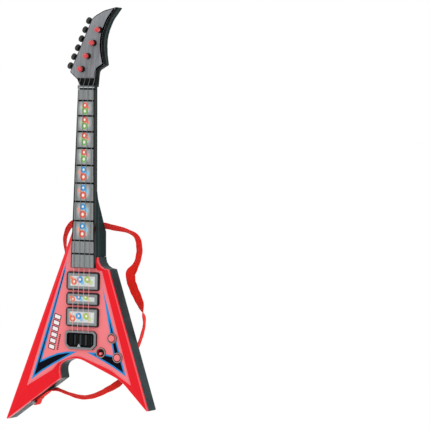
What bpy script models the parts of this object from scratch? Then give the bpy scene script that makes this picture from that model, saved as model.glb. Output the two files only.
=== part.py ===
"""Toy electric guitar with an asymmetric V body.

Sizes are in millimetres. X is to the right seen from the front, Y goes back, Z goes up the neck.
The origin is on the neck's centre line under the headstock, where a hanger carries the guitar,
in the plane of the body's front label.
"""
import math

import bmesh
import bpy
from mathutils import Matrix, Vector

MM = 0.001
GAP = 0.3             # between pieces that touch
RUNNING_GAP = 0.4     # between a sliding piece and its opening
PAST = 1.0            # how far a cutter runs past a face
ARC_STEPS = 4         # segments in each rounded corner of an outline

# Neck and fretboard
FRETBOARD_TOP = -9.3
FRETBOARD_LENGTH = 282.0
FRETBOARD_FRONT = -6.5
NUT_HALF_WIDTH = 14.6
END_HALF_WIDTH = 20.9
NECK_BACK = 9.2
NECK_WALL = 2.2
NECK_CHANNEL_DEPTH = 5.5
HEEL_RAMP_START = 115.0     # above the fretboard's end
HEEL_RAMP_END = 60.0
HEEL_END = 17.7
TENON_HALF_WIDTH = 13.0
TENON_LENGTH = 20.0
TENON_FRONT = 12.0
TENON_BACK = 29.0

# Fretboard cells: one blank, the keys, two blanks
KEY_COUNT = 8
KEY_GROWTH = 1.05
BLANK_CELL_TOP = 17.7
BLANK_CELL_END = 21.6
KEY_SIDE_MARGIN = 1.6
FRET_WIDTH = 2.0
KEY_PROUD = 0.5
KEY_DEPTH = 4.2

# Headstock
HEAD_FACE = 0.0
HEAD_BACK = 20.0
HEAD_WALL = 2.6
HEAD_PLATE = 2.4
HEAD_SLOPE_END = 55.0
HEAD_TIP = (48.5, 121.5)
HEAD_EDGE_LOW = (-33.0, 18.0)
HEAD_EDGE_HIGH = (4.5, 103.5)
TUNER_COUNT = 6
TUNER_FIRST = 8.2
TUNER_PITCH = 15.6
TUNER_RADIUS = 6.0
TUNER_SHAFT_RADIUS = 2.0
TUNER_DEPTH = 8.5
TUNER_LENGTH = 7.6
POST_COUNT = 4
POST_FIRST = (-10.6, 22.8)
POST_STEP = (9.75, 20.7)
POST_RADIUS = 3.9
POST_HEIGHT = 14.0
POST_FOOT = 2.0

# Strings
STRING_RADIUS = 0.4
STRING_SPREAD_NUT = 25.0
STRING_SPREAD_BRIDGE = 28.0
NUT_FRONT = -8.0
CLAMP_FRONT = -2.6

# Body
BODY_BACK = 38.0
RIM = 9.0              # depth of the seam between the two shells
RIM_ROUND = 1.4
BEVEL_DEPTH = 3.5       # from the label's edge to where the rim rounds over
WALL = 2.5
FLOOR = 2.6
LABEL = 0.8
LABEL_LIP = 0.6
LEFT_TIP = (-137.7, -250.6)
RIGHT_TIP = (115.2, -225.0)
NOTCH_TOP = (-14.0, -141.7)
SHOULDER = (40.0, -1.2)
HORN_TIP_Z = 70.0
SCOOP_RADIUS = 17.0

# Pads, bridge and buttons, measured down from the fretboard's end
PAD_TOPS = (6.6, 39.4, 63.1)
PAD_HEIGHTS = (29.2, 20.3, 30.2)
PAD_FRAME_WIDTH = 57.0
PAD_FRAME_BORDER = 5.0
PAD_CENTRE_X = -0.8
PAD_FRAME_FRONT = -4.2
PAD_FRONT = -3.4
PAD_TRAVEL = 1.2
BRIDGE_TOP = 99.9
BRIDGE_HEIGHT = 29.4
BRIDGE_WIDTH = 55.0
BRIDGE_BORDER = 3.4
BRIDGE_FRONT = -4.6
BRIDGE_CENTRE_X = -2.6
SADDLE_COUNT = 4
BUTTONS = {"1": (51.6, -109.4), "2": (62.0, -139.4)}
SWITCH = (32.6, -133.0)
RING_RADIUS = 8.2
RING_FRONT = -2.6
BUTTON_RADIUS = 5.3
BUTTON_FRONT = -4.4
BUTTON_TRAVEL = 1.5
SWITCH_RADIUS = 2.4
SWITCH_TRAVEL = 3.0

# Inside and back
BOARD_FRONT = 13.0
BOARD_THICKNESS = 1.6
SPEAKER_RADIUS = 25.0
SPEAKER_Z = -50.0
SPEAKER_DEPTH = 16.0
BATTERY_RADIUS = 7.25
BATTERY_LENGTH = 50.5
BATTERY_COUNT = 3
BATTERY_SPACE = 0.6      # between two cells
BATTERY_PITCH = 2 * BATTERY_RADIUS + BATTERY_SPACE
BATTERY_Z = -107.5
BOX_WALL = 1.6
COVER_THICKNESS = 2.0
SCREW_HEAD = 3.2
SCREW_SHANK = 1.5
BOSS_RADIUS = 5.2

# Strap
STRAP_WIDTH = 16.0
STRAP_THICKNESS = 1.6
LUG_WIDTH = 24.0
LUG_HEIGHT = 6.0
LUG_BAR = 3.0
LOWER_LUG = (-94.0, 23.0)    # X, and Y on the left leg's lower wall
UPPER_LUG = (-24.0, -12.0)
# Route points: X, Y, Z and the turn of the webbing about its run, in degrees
STRAP_ROUTE = (
    (-90.5, 23.0, -507.8, 90), (-78.8, 23.3, -499.7, 90), (-67.9, 24.0, -491.7, 86),
    (-60.5, 25.0, -489.2, 76), (-52.5, 25.8, -490.4, 88), (-36.5, 27.5, -495.1, 88),
    (-14.0, 31.0, -500.0, 75), (8.0, 34.5, -495.4, 60), (28.0, 39.5, -485.0, 49),
    (47.0, 45.5, -471.0, 37), (61.0, 48.0, -446.0, 55), (72.0, 49.0, -420.0, 78),
    (80.5, 48.0, -397.0, 81), (85.5, 46.0, -378.0, 76), (84.2, 45.0, -365.0, 77),
    (79.0, 45.0, -349.0, 29), (70.0, 45.0, -331.0, 9), (61.5, 45.0, -313.0, 4),
    (59.8, 45.0, -300.0, -7), (68.5, 45.0, -287.0, 31), (73.5, 45.0, -271.0, 32),
    (74.3, 45.0, -257.0, 31), (70.3, 45.0, -243.1, 37), (60.0, 45.0, -235.1, 58),
    (46.0, 44.5, -230.1, 60), (30.0, 44.0, -227.9, 54), (8.0, 43.5, -224.0, 50),
    (-18.0, 43.0, -221.0, 46), (-40.0, 44.0, -221.5, 63), (-53.0, 45.0, -232.0, 85),
    (-58.5, 45.0, -250.0, 98), (-54.0, 44.0, -272.0, 99), (-42.0, 43.6, -290.0, 12),
    (-31.5, 41.8, -300.5, 0),
)

FRETBOARD_END = FRETBOARD_TOP - FRETBOARD_LENGTH
LABEL_FLOOR = LABEL + GAP
SHELL_INSIDE = LABEL_FLOOR + 2.2
HEEL_BACK = BODY_BACK - 0.2
HEEL_BOTTOM = FRETBOARD_END + HEEL_END


def down(offset):
    """A height measured down from the fretboard's end."""
    return FRETBOARD_END - offset


def neck_half_width(z):
    along = min(max((FRETBOARD_TOP - z) / FRETBOARD_LENGTH, 0.0), 1.0)
    return NUT_HALF_WIDTH + (END_HALF_WIDTH - NUT_HALF_WIDTH) * along


# ---------------------------------------------------------------- scene and materials
for old in list(bpy.data.objects):
    bpy.data.objects.remove(old, do_unlink=True)

guitar = bpy.data.collections.new("toy_guitar")
cutters = bpy.data.collections.new("cutters")
bpy.context.scene.collection.children.link(guitar)
bpy.context.scene.collection.children.link(cutters)


def material(name, colour, roughness, metallic=0.0):
    made = bpy.data.materials.new(name)
    made.use_nodes = True
    shader = made.node_tree.nodes["Principled BSDF"]
    shader.inputs["Base Color"].default_value = (*colour, 1.0)
    shader.inputs["Roughness"].default_value = roughness
    shader.inputs["Metallic"].default_value = metallic
    made.diffuse_color = (*colour, 1.0)
    return made


RED = material("red_plastic", (0.78, 0.02, 0.05), 0.3)
DARK = material("dark_plastic", (0.03, 0.05, 0.055), 0.45)
CORAL = material("coral_label", (0.86, 0.22, 0.24), 0.4)
GREY = material("grey_plastic", (0.22, 0.23, 0.24), 0.45)
BLACK = material("black_plastic", (0.01, 0.01, 0.012), 0.4)
SILVER = material("silver_plating", (0.6, 0.6, 0.62), 0.25, 1.0)
SCREEN = material("pad_screen", (0.7, 0.75, 0.7), 0.3)
PINK = material("button_pink", (0.85, 0.2, 0.25), 0.3)
SCARLET = material("post_red", (0.8, 0.02, 0.03), 0.25)
STRING = material("string_nylon", (0.7, 0.7, 0.7), 0.3)
WEBBING = material("strap_webbing", (0.75, 0.02, 0.02), 0.8)
BOARD = material("circuit_board", (0.02, 0.2, 0.06), 0.5)
STEEL = material("steel", (0.5, 0.5, 0.5), 0.3, 1.0)
CELL = material("battery_wrap", (0.1, 0.25, 0.12), 0.4)
CONE = material("speaker_cone", (0.03, 0.03, 0.03), 0.7)


# ---------------------------------------------------------------- outline helpers
def rounded(corners, steps=ARC_STEPS):
    """Points of a closed outline whose corners (x, z, radius) are rounded by arcs.

    A corner may carry its own number of steps after its radius.
    """
    points = []
    for index, (x, z, radius, *own) in enumerate(corners):
        count = own[0] if own else steps
        here = Vector((x, z))
        beside = (corners[index - 1], corners[(index + 1) % len(corners)])
        before, after = (Vector(corner[:2]) - here for corner in beside)
        reach = min(side.length * (0.9 if corner[2] <= 1.0 else 0.48)
                    for side, corner in zip((before, after), beside))
        before.normalize()
        after.normalize()
        half = before.angle(after) / 2
        tangent = min(radius / math.tan(half), reach)
        radius = tangent * math.tan(half)
        centre = here + (before + after).normalized() * (radius / math.sin(half))
        start = here + before * tangent - centre
        sweep = start.angle_signed(here + after * tangent - centre)
        for step in range(count + 1):
            turn = Matrix.Rotation(-sweep * step / count, 2)
            points.append(tuple(centre + turn @ start))
    return points


def inset(corners, distance):
    """The corners moved inwards by a distance; a negative distance grows the outline."""
    area = sum(a[0] * b[1] - b[0] * a[1] for a, b in zip(corners, corners[1:] + corners[:1]))
    side = 1.0 if area > 0 else -1.0
    moved = []
    for index, (x, z, radius, *own) in enumerate(corners):
        before = corners[index - 1]
        after = corners[(index + 1) % len(corners)]
        run_in = Vector((x - before[0], z - before[1])).normalized()
        run_out = Vector((after[0] - x, after[1] - z)).normalized()
        normal = (Vector((-run_in.y, run_in.x)) + Vector((-run_out.y, run_out.x))).normalized()
        shift = distance / max(normal.dot(Vector((-run_in.y, run_in.x))), 0.1)
        turn = (run_in.x * run_out.y - run_in.y * run_out.x) * side
        new_radius = max(radius - math.copysign(distance, turn), 0.3)
        moved.append((x + normal.x * shift * side, z + normal.y * shift * side, new_radius, *own))
    return moved


def rectangle(x_low, x_high, z_low, z_high, radius):
    return [(x_low, z_low, radius), (x_high, z_low, radius),
            (x_high, z_high, radius), (x_low, z_high, radius)]


# ---------------------------------------------------------------- object helpers
def add(name, mesh, look, smooth_angle=None):
    made = bpy.data.objects.new(name, mesh)
    if look is None:
        cutters.objects.link(made)
        made.hide_render = True
        made.display_type = "WIRE"
        return made
    guitar.objects.link(made)
    mesh.materials.clear()
    mesh.materials.append(look)
    if smooth_angle:
        mesh.shade_smooth()
        mesh.set_sharp_from_angle(angle=math.radians(smooth_angle))
    return made


def finish_mesh(name, mesh_data):
    mesh = bpy.data.meshes.new(name)
    bmesh.ops.recalc_face_normals(mesh_data, faces=mesh_data.faces)
    mesh_data.to_mesh(mesh)
    mesh_data.free()
    return mesh


def plate(name, outline, front, back, look=None):
    """A flat outline of (x, z) points between two depths."""
    curve = bpy.data.curves.new(name + "_outline", "CURVE")
    curve.dimensions = "2D"
    curve.fill_mode = "BOTH"
    curve.extrude = (back - front) / 2 * MM
    spline = curve.splines.new("POLY")
    spline.points.add(len(outline) - 1)
    for point, (x, z) in zip(spline.points, outline):
        point.co = (x * MM, z * MM, 0.0, 1.0)
    spline.use_cyclic_u = True
    holder = bpy.data.objects.new(name + "_holder", curve)
    cutters.objects.link(holder)
    evaluated = holder.evaluated_get(bpy.context.evaluated_depsgraph_get())
    flat = bmesh.new()
    flat.from_mesh(bpy.data.meshes.new_from_object(evaluated))
    bmesh.ops.remove_doubles(flat, verts=flat.verts, dist=1e-6)
    stand = Matrix.Translation((0, (front + back) / 2 * MM, 0)) @ Matrix.Rotation(math.pi / 2, 4, "X")
    bmesh.ops.transform(flat, matrix=stand, verts=flat.verts)
    bpy.data.objects.remove(holder, do_unlink=True)
    return add(name, finish_mesh(name, flat), look)


def box(name, low, high, look=None, edge=0.0):
    """A box between two corners, with bevelled edges if edge is given."""
    low, high = Vector(low) * MM, Vector(high) * MM
    cube = bmesh.new()
    bmesh.ops.create_cube(cube, size=1.0)
    bmesh.ops.scale(cube, vec=high - low, verts=cube.verts)
    bmesh.ops.translate(cube, vec=(low + high) / 2, verts=cube.verts)
    made = add(name, finish_mesh(name, cube), look)
    if edge:
        bevel = made.modifiers.new("edges", "BEVEL")
        bevel.width = edge * MM
        bevel.segments = 2
    return made


def loft(name, rings, look=None, smooth_angle=None):
    """A closed solid through rings of (x, y, z) points with equal counts."""
    skin = bmesh.new()
    rows = [[skin.verts.new(Vector(point) * MM) for point in ring] for ring in rings]
    for lower, upper in zip(rows, rows[1:]):
        for index in range(len(lower)):
            following = (index + 1) % len(lower)
            skin.faces.new((lower[index], lower[following], upper[following], upper[index]))
    skin.faces.new(rows[0])
    skin.faces.new(rows[-1])
    return add(name, finish_mesh(name, skin), look, smooth_angle)


def at_depth(corners, depth):
    return [(x, depth, z) for x, z in rounded(corners)]


def turned(name, profile, place, look=None, steps=24):
    """A profile of (radius, height) points, top to bottom, turned about its own Z axis."""
    line = bmesh.new()
    closed = profile[0] == profile[-1]
    corners = profile[:-1] if closed else profile
    verts = [line.verts.new((radius * MM, 0.0, height * MM)) for radius, height in corners]
    for first, second in zip(verts, verts[1:] + verts[:1] if closed else verts[1:]):
        line.edges.new((first, second))
    mesh = bpy.data.meshes.new(name)
    line.to_mesh(mesh)
    line.free()
    made = add(name, mesh, look)
    made.matrix_world = place
    screw = made.modifiers.new("turn", "SCREW")
    screw.steps = steps
    screw.render_steps = steps
    screw.use_merge_vertices = True
    screw.merge_threshold = 1e-5
    screw.use_smooth_shade = True
    return made


def facing(direction, position):
    """A placement whose own Z axis points along a direction."""
    turn = Vector(direction).to_track_quat("Z", "Y").to_matrix().to_4x4()
    return Matrix.Translation(Vector(position) * MM) @ turn


def frontwards(x, z, y=0.0):
    return facing((0, -1, 0), (x, y, z))


def backwards(x, z, y=0.0):
    return facing((0, 1, 0), (x, y, z))


def boolean(target, others, operation):
    for other in others:
        step = target.modifiers.new(operation.lower(), "BOOLEAN")
        step.operation = operation
        step.solver = "EXACT"
        step.object = other


def cut(target, *others):
    boolean(target, others, "DIFFERENCE")


def join(target, *others):
    boolean(target, others, "UNION")


def drill(name, place, radius, start, end, steps=12):
    """A round cutter along a placement's axis, between two distances on it."""
    profile = ((0, end), (radius, end), (radius, start), (0, start))
    return turned(name, profile, place, steps=steps)


# ---------------------------------------------------------------- outlines of the body
NECK_CLEAR = GAP + 0.1


def body_corners():
    """Corners of the body's rim, counter-clockwise from the horn beside the neck."""
    left_tip = (LEFT_TIP[0], down(-LEFT_TIP[1]))
    right_tip = (RIGHT_TIP[0], down(-RIGHT_TIP[1]))
    shoulder = (SHOULDER[0], down(-SHOULDER[1]))
    apex = (NOTCH_TOP[0], down(-NOTCH_TOP[1]))
    horn_z = FRETBOARD_END + HORN_TIP_Z
    horn_side = -neck_half_width(horn_z) - NECK_CLEAR
    foot_z = HEEL_BOTTOM - NECK_CLEAR
    foot_side = neck_half_width(foot_z) + NECK_CLEAR
    return [
        (horn_side - 0.5, horn_z, 0.3, 1),
        (*left_tip, 1.2, 2),
        (-40.5, apex[1] - 36.0, 1.2, 1),
        (-45.0, apex[1] - 13.0, 15.0, 4),
        (*apex, 38.0, 5),
        (66.0, apex[1] - 34.0, 60.0, 3),
        (*right_tip, 1.2, 2),
        (*shoulder, 1.0, 1),
        (foot_side + 0.4, shoulder[1], SCOOP_RADIUS, 4),
        (foot_side, foot_z, 0.3, 1),
        (-foot_side, foot_z, 0.3, 2),
    ]


def label_corners():
    """Corners of the flat face, each facing the rim's corner of the same index."""
    apex_z = down(-NOTCH_TOP[1])
    shoulder_z = down(-SHOULDER[1])
    horn_z = FRETBOARD_END + HORN_TIP_Z
    foot_z = HEEL_BOTTOM - NECK_CLEAR
    foot_side = neck_half_width(foot_z) + NECK_CLEAR
    lip = 0.6
    return [
        (-neck_half_width(horn_z) - NECK_CLEAR - 1.3, horn_z - 22.0, 0.3, 1),
        (LEFT_TIP[0] + 40.7, down(-LEFT_TIP[1]) + 60.1, 0.6, 2),
        (-53.0, apex_z - 22.0, 8.0, 1),
        (-43.6, apex_z - 11.4, 8.0, 4),
        (-11.0, apex_z + 3.6, 36.0, 5),
        (50.0, apex_z - 17.6, 80.0, 3),
        (RIGHT_TIP[0] - 30.0, down(-RIGHT_TIP[1]) + 44.2, 0.6, 2),
        (SHOULDER[0] - 9.3, shoulder_z - 2.5, 1.0, 1),
        (foot_side - 0.8, shoulder_z - 2.5, 6.0, 4),
        (foot_side - 1.4, foot_z - 5.0, 0.8, 1),
        (-foot_side - lip, foot_z - 2.4, 1.2, 2),
    ]


RIM_CORNERS = body_corners()
LABEL_CORNERS = label_corners()
FACE = 0.1
ROUND_START = FACE + BEVEL_DEPTH


# ---------------------------------------------------------------- pads, bridge and buttons: places
def pad_places():
    for number, (top, height) in enumerate(zip(PAD_TOPS, PAD_HEIGHTS), start=1):
        yield number, down(top + height), down(top)


def pad_frame_corners(z_low, z_high, shrink=0.0):
    half = PAD_FRAME_WIDTH / 2
    frame = rectangle(PAD_CENTRE_X - half, PAD_CENTRE_X + half, z_low, z_high, 4.0)
    return inset(frame, shrink)


def bridge_corners(shrink=0.0):
    """An octagon with longer lower chamfers."""
    left = BRIDGE_CENTRE_X - BRIDGE_WIDTH / 2
    right = BRIDGE_CENTRE_X + BRIDGE_WIDTH / 2
    high, low = down(BRIDGE_TOP), down(BRIDGE_TOP + BRIDGE_HEIGHT)
    upper, lower = 4.5, 7.0
    octagon = [
        (left, high - upper, 0.8), (left, low + lower, 0.8), (left + lower, low, 0.8),
        (right - lower, low, 0.8), (right, low + lower, 0.8), (right, high - upper, 0.8),
        (right - upper, high, 0.8), (left + upper, high, 0.8),
    ]
    return inset(octagon, shrink)


def string_x(index, spread):
    return (index / (POST_COUNT - 1) - 0.5) * spread


BUTTON_PLACES = {name: (x, down(-z)) for name, (x, z) in BUTTONS.items()}
SWITCH_PLACE = (SWITCH[0], down(-SWITCH[1]))
RING_PLACES = (*BUTTON_PLACES.values(), SWITCH_PLACE)
RING_SOCKET = RING_RADIUS - 1.6


# ---------------------------------------------------------------- front shell and label
def face_cutters(prefix, grow, bridge_grow, ring_radius, front, back):
    """Openings of the pads, the bridge and the button rings, for one plate of the front."""
    made = []
    for number, z_low, z_high in pad_places():
        corners = pad_frame_corners(z_low, z_high, -grow)
        made.append(plate(f"{prefix}_pad_{number}", rounded(corners, 3), front, back))
    made.append(plate(f"{prefix}_bridge", rounded(bridge_corners(-bridge_grow), 1), front, back))
    for number, (x, z) in enumerate(RING_PLACES):
        made.append(drill(f"{prefix}_ring_{number}", frontwards(x, z), ring_radius, -back, -front,
                          20))
    return made


def front_shell():
    shell = loft("body_front_shell", [
        at_depth(LABEL_CORNERS, FACE),
        at_depth(inset(RIM_CORNERS, RIM_ROUND), ROUND_START),
        at_depth(inset(RIM_CORNERS, RIM_ROUND * 0.3), ROUND_START + RIM_ROUND * 0.3),
        at_depth(RIM_CORNERS, ROUND_START + RIM_ROUND),
        at_depth(RIM_CORNERS, RIM),
    ], RED, 25)
    hollow = loft("front_hollow", [
        at_depth(inset(LABEL_CORNERS, WALL), SHELL_INSIDE),
        at_depth(inset(RIM_CORNERS, WALL), RIM + PAST),
    ])
    recess = plate("label_recess", rounded(inset(LABEL_CORNERS, LABEL_LIP)), FACE - PAST, LABEL_FLOOR)
    cut(shell, hollow, recess)
    for number, (x, z, tall) in enumerate(SHELL_SCREWS):
        if tall:
            pillar = drill(f"pillar_{number}", frontwards(x, z), BOSS_RADIUS - 1.0,
                           -(RIM + 0.6), -(SHELL_INSIDE - 0.5))
            join(shell, pillar)
            cut(shell, drill(f"pillar_bore_{number}", frontwards(x, z), SCREW_SHANK + GAP,
                             -(RIM + PAST), -(SHELL_INSIDE + 0.6)))
    cut(shell, *face_cutters("shell", -PAD_FRAME_BORDER + RUNNING_GAP + 1.0, GAP - BRIDGE_BORDER,
                             RING_SOCKET - 1.0, LABEL_FLOOR - PAST, SHELL_INSIDE + PAST))


def front_label():
    label = plate("front_label", rounded(inset(LABEL_CORNERS, LABEL_LIP + GAP)), 0.0, LABEL, CORAL)
    cut(label, *face_cutters("label", GAP, GAP, RING_RADIUS + GAP, -PAST, LABEL + PAST))


# ---------------------------------------------------------------- back shell
# Screws that close the shells: X, Z and whether a pillar of the front shell takes them
SHELL_SCREWS = (
    (-66.0, down(142.0), True),
    (64.0, down(124.0), True),
    (-7.0, down(-5.3), False),
    (7.0, down(-5.3), False),
)
BOSS_FRONT = RIM + GAP + 0.6


def back_shell():
    seam = RIM + GAP
    shell = loft("body_back_shell", [
        at_depth(RIM_CORNERS, seam),
        at_depth(RIM_CORNERS, BODY_BACK - 2.0),
        at_depth(inset(RIM_CORNERS, 0.7), BODY_BACK - 0.6),
        at_depth(inset(RIM_CORNERS, 2.0), BODY_BACK),
    ], DARK, 25)
    cut(shell, plate("back_hollow", rounded(inset(RIM_CORNERS, WALL)), seam - PAST, BODY_BACK - FLOOR))
    for number, (x, z, tall) in enumerate(SHELL_SCREWS):
        front = BOSS_FRONT if tall else TENON_BACK + GAP
        join(shell, drill(f"boss_{number}", backwards(x, z), BOSS_RADIUS, front, BODY_BACK - 1.2))
    for number, (x, z, tall) in enumerate(SHELL_SCREWS):
        profile = [(0, BODY_BACK + PAST), (SCREW_HEAD + GAP, BODY_BACK + PAST),
                   (SCREW_HEAD + GAP, BODY_BACK - 3.1), (SCREW_SHANK + GAP, BODY_BACK - 3.1),
                   (SCREW_SHANK + GAP, 2.0), (0, 2.0)]
        cut(shell, turned(f"screw_way_{number}", profile, backwards(x, z), steps=12))
    cut(shell, box("tenon_way", (-TENON_HALF_WIDTH - GAP, TENON_FRONT - GAP, HEEL_BOTTOM - 6.0),
                   (TENON_HALF_WIDTH + GAP, TENON_BACK + GAP, HEEL_BOTTOM + 2.0)))
    low, high = battery_box_sides()
    cut(shell, box("battery_way", (low[0] - GAP, 0.0, low[1] - GAP),
                   (high[0] + GAP, BODY_BACK + PAST, high[1] + GAP)))
    for row in range(-3, 4):
        reach = math.sqrt(max((SPEAKER_RADIUS - 4.0) ** 2 - (row * 6.0) ** 2, 16.0))
        z = down(-SPEAKER_Z) + row * 6.0
        slot = rectangle(-reach, reach, z - 1.3, z + 1.3, 1.2)
        cut(shell, plate(f"grille_{row + 3}", rounded(slot, 3), BODY_BACK - FLOOR - PAST,
                         BODY_BACK + PAST))


# ---------------------------------------------------------------- neck
def neck_section(z, half_width, back, radius):
    """A section of the neck: flat front, straight sides and a rounded back."""
    steps = 6
    points = [(-half_width, HEAD_FACE, z)]
    for side in (-1, 1):
        for step in range(steps + 1):
            turn = math.pi / 2 * step / steps
            along = (math.cos(turn), math.sin(turn)) if side < 0 else (math.sin(turn), math.cos(turn))
            points.append((side * (half_width - radius + radius * along[0]),
                           back - radius + radius * along[1], z))
    points.append((half_width, HEAD_FACE, z))
    return points


def head_corners():
    waist_z = -5.0
    return [
        (-NUT_HALF_WIDTH, waist_z, 0.3, 1),
        (-NUT_HALF_WIDTH - 0.8, 3.0, 7.0, 2),
        (*HEAD_EDGE_LOW, 2.5, 2),
        (*HEAD_EDGE_HIGH, 14.0, 2),
        (13.4, 109.4, 30.0, 1),
        (25.0, 115.6, 30.0, 2),
        (*HEAD_TIP, 0.9, 1),
        (33.0, 101.0, 40.0, 2),
        (25.0, 81.5, 40.0, 1),
        (22.2, 64.8, 40.0, 1),
        (23.8, 48.5, 40.0, 1),
        (28.5, 30.0, 1.6, 2),
        (NUT_HALF_WIDTH - 0.3, 21.0, 7.0, 3),
        (NUT_HALF_WIDTH, waist_z, 0.3, 1),
    ]


def tuner_axis(index):
    """Where a tuner's axis leaves the headstock's left edge, and its outward direction."""
    low, high = Vector(HEAD_EDGE_LOW), Vector(HEAD_EDGE_HIGH)
    along = (high - low).normalized()
    spot = low + along * (TUNER_FIRST + TUNER_PITCH * index)
    return (spot.x, TUNER_DEPTH, spot.y), (-along.y, 0.0, along.x)


def neck_shell():
    ramp_low = FRETBOARD_END + HEEL_RAMP_END
    ramp_high = FRETBOARD_END + HEEL_RAMP_START
    sections = [
        (-2.0, NECK_BACK, 7.5), (ramp_high + 8.0, NECK_BACK, 7.5),
        (ramp_high - 6.0, NECK_BACK + 3.0, 7.0), (ramp_low + 3.0, HEEL_BACK - 3.0, 4.0),
        (ramp_low - 3.0, HEEL_BACK, 3.0), (HEEL_BOTTOM, HEEL_BACK, 3.0),
    ]
    neck = loft("neck_back_shell", [
        neck_section(z, neck_half_width(z), back, radius) for z, back, radius in sections
    ], DARK, 30)
    corners = head_corners()
    head = plate("head_block", rounded(corners), HEAD_FACE + 0.5, HEAD_BACK)
    join(neck, head)
    join(neck, box("tenon", (-TENON_HALF_WIDTH, TENON_FRONT, HEEL_BOTTOM - TENON_LENGTH),
                   (TENON_HALF_WIDTH, TENON_BACK, HEEL_BOTTOM + 3.0)))
    slope = math.atan2(HEAD_BACK - NECK_BACK, HEAD_SLOPE_END)
    wedge = box("head_wedge", (-80, 0, -60), (80, 40, HEAD_SLOPE_END / math.cos(slope)))
    wedge.matrix_world = (Matrix.Translation((0, NECK_BACK * MM, 0))
                          @ Matrix.Rotation(-slope, 4, "X"))
    clip = box("wedge_clip", (-90, -10, -5.2), (90, 60, 200))
    both = wedge.modifiers.new("above_waist", "BOOLEAN")
    both.operation = "INTERSECT"
    both.object = clip
    cut(neck, wedge)
    seat = plate("face_seat", rounded(inset(corners, 1.0)), HEAD_FACE - PAST, HEAD_PLATE + GAP)
    seat_clip = box("seat_clip", (-90, -10, -1.5), (90, 60, 200))
    over = seat.modifiers.new("above_waist", "BOOLEAN")
    over.operation = "INTERSECT"
    over.object = seat_clip
    cut(neck, seat)
    pocket = plate("head_pocket", rounded(inset(corners, HEAD_WALL + 1.0)), HEAD_PLATE,
                   HEAD_BACK - HEAD_WALL)
    pocket_clip = box("pocket_clip", (-90, -10, HEAD_SLOPE_END * 0.36), (90, 60, 200))
    deep = pocket.modifiers.new("above_slope", "BOOLEAN")
    deep.operation = "INTERSECT"
    deep.object = pocket_clip
    sloped = box("pocket_slope", (-80, -HEAD_WALL, -60), (80, 40, HEAD_SLOPE_END / math.cos(slope)))
    sloped.matrix_world = wedge.matrix_world.copy()
    thin = pocket.modifiers.new("off_the_slope", "BOOLEAN")
    thin.operation = "DIFFERENCE"
    thin.object = sloped
    cut(neck, pocket)
    channel_half = NUT_HALF_WIDTH - NECK_WALL - 1.0
    cut(neck, box("neck_channel", (-channel_half, HEAD_FACE - PAST, HEEL_BOTTOM + 2.6),
                  (channel_half, NECK_CHANNEL_DEPTH, FRETBOARD_TOP - 2.0)))
    cut(neck, box("heel_hollow", (-channel_half, NECK_CHANNEL_DEPTH - PAST, HEEL_BOTTOM + 2.6),
                  (channel_half, HEEL_BACK - 3.0, ramp_low - 2.0)))
    for index in range(TUNER_COUNT):
        spot, outward = tuner_axis(index)
        cut(neck, drill(f"tuner_way_{index}", facing(outward, spot), TUNER_SHAFT_RADIUS + GAP,
                        -6.0, 4.0, 8))
    for number, (x, z, tall) in enumerate(SHELL_SCREWS):
        if not tall:
            cut(neck, drill(f"tenon_bore_{number}", backwards(x, z), SCREW_SHANK + GAP,
                            TENON_BACK - 10.0, TENON_BACK + PAST, 8))


def headstock_face():
    outline = rounded(inset(head_corners(), 1.0 + GAP))
    face = plate("headstock_face", outline, HEAD_FACE, HEAD_PLATE, GREY)
    clip = box("face_clip", (-90, -20, -30), (90, 20, -1.0))
    cut(face, clip)
    for index in range(POST_COUNT):
        cut(face, drill(f"post_way_{index}", frontwards(*post_place(index)),
                        POST_RADIUS - 0.9 + GAP, -10.0, 10.0))


def post_place(index):
    return (POST_FIRST[0] + POST_STEP[0] * index, POST_FIRST[1] + POST_STEP[1] * index)


def string_posts():
    collar = POST_RADIUS * 0.92
    for index in range(POST_COUNT):
        x, z = post_place(index)
        profile = [(0, POST_HEIGHT)]
        profile += [(POST_RADIUS * math.sin(math.radians(turn)),
                     POST_HEIGHT - 2.2 + 2.2 * math.cos(math.radians(turn)))
                    for turn in (30, 60, 90)]
        profile += [(POST_RADIUS, 5.2), (collar, 5.0), (collar - 0.8, 3.8), (collar - 0.8, 2.4),
                    (collar, 1.6), (collar, GAP), (POST_RADIUS - 0.9, GAP),
                    (POST_RADIUS - 0.9, -POST_FOOT), (0, -POST_FOOT)]
        turned(f"string_post_{index + 1}", profile, frontwards(x, z, HEAD_FACE), SCARLET, 14)


def tuner_knobs():
    start, end = 4.0, 4.0 + TUNER_LENGTH
    for index in range(TUNER_COUNT):
        spot, outward = tuner_axis(index)
        profile = [(0, end), (TUNER_RADIUS - 2.2, end), (TUNER_RADIUS - 0.6, end - 0.9),
                   (TUNER_RADIUS, end - 2.4), (TUNER_RADIUS, start + 2.0),
                   (TUNER_RADIUS - 0.9, start + 0.6), (TUNER_RADIUS - 2.6, start),
                   (TUNER_SHAFT_RADIUS, start), (TUNER_SHAFT_RADIUS, -5.0), (0, -5.0)]
        turned(f"tuner_knob_{index + 1}", profile, facing(outward, spot), BLACK, 14)


# ---------------------------------------------------------------- fretboard, keys, nut and clamp
def cell_lines():
    """Heights of the fret lines that bound the eight keys, from the top."""
    keys_length = FRETBOARD_LENGTH - BLANK_CELL_TOP - 2 * BLANK_CELL_END
    first = keys_length / KEY_COUNT - KEY_GROWTH * (KEY_COUNT - 1) / 2
    heights = [FRETBOARD_TOP - BLANK_CELL_TOP]
    for index in range(KEY_COUNT):
        heights.append(heights[-1] - first - KEY_GROWTH * index)
    return heights


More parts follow.
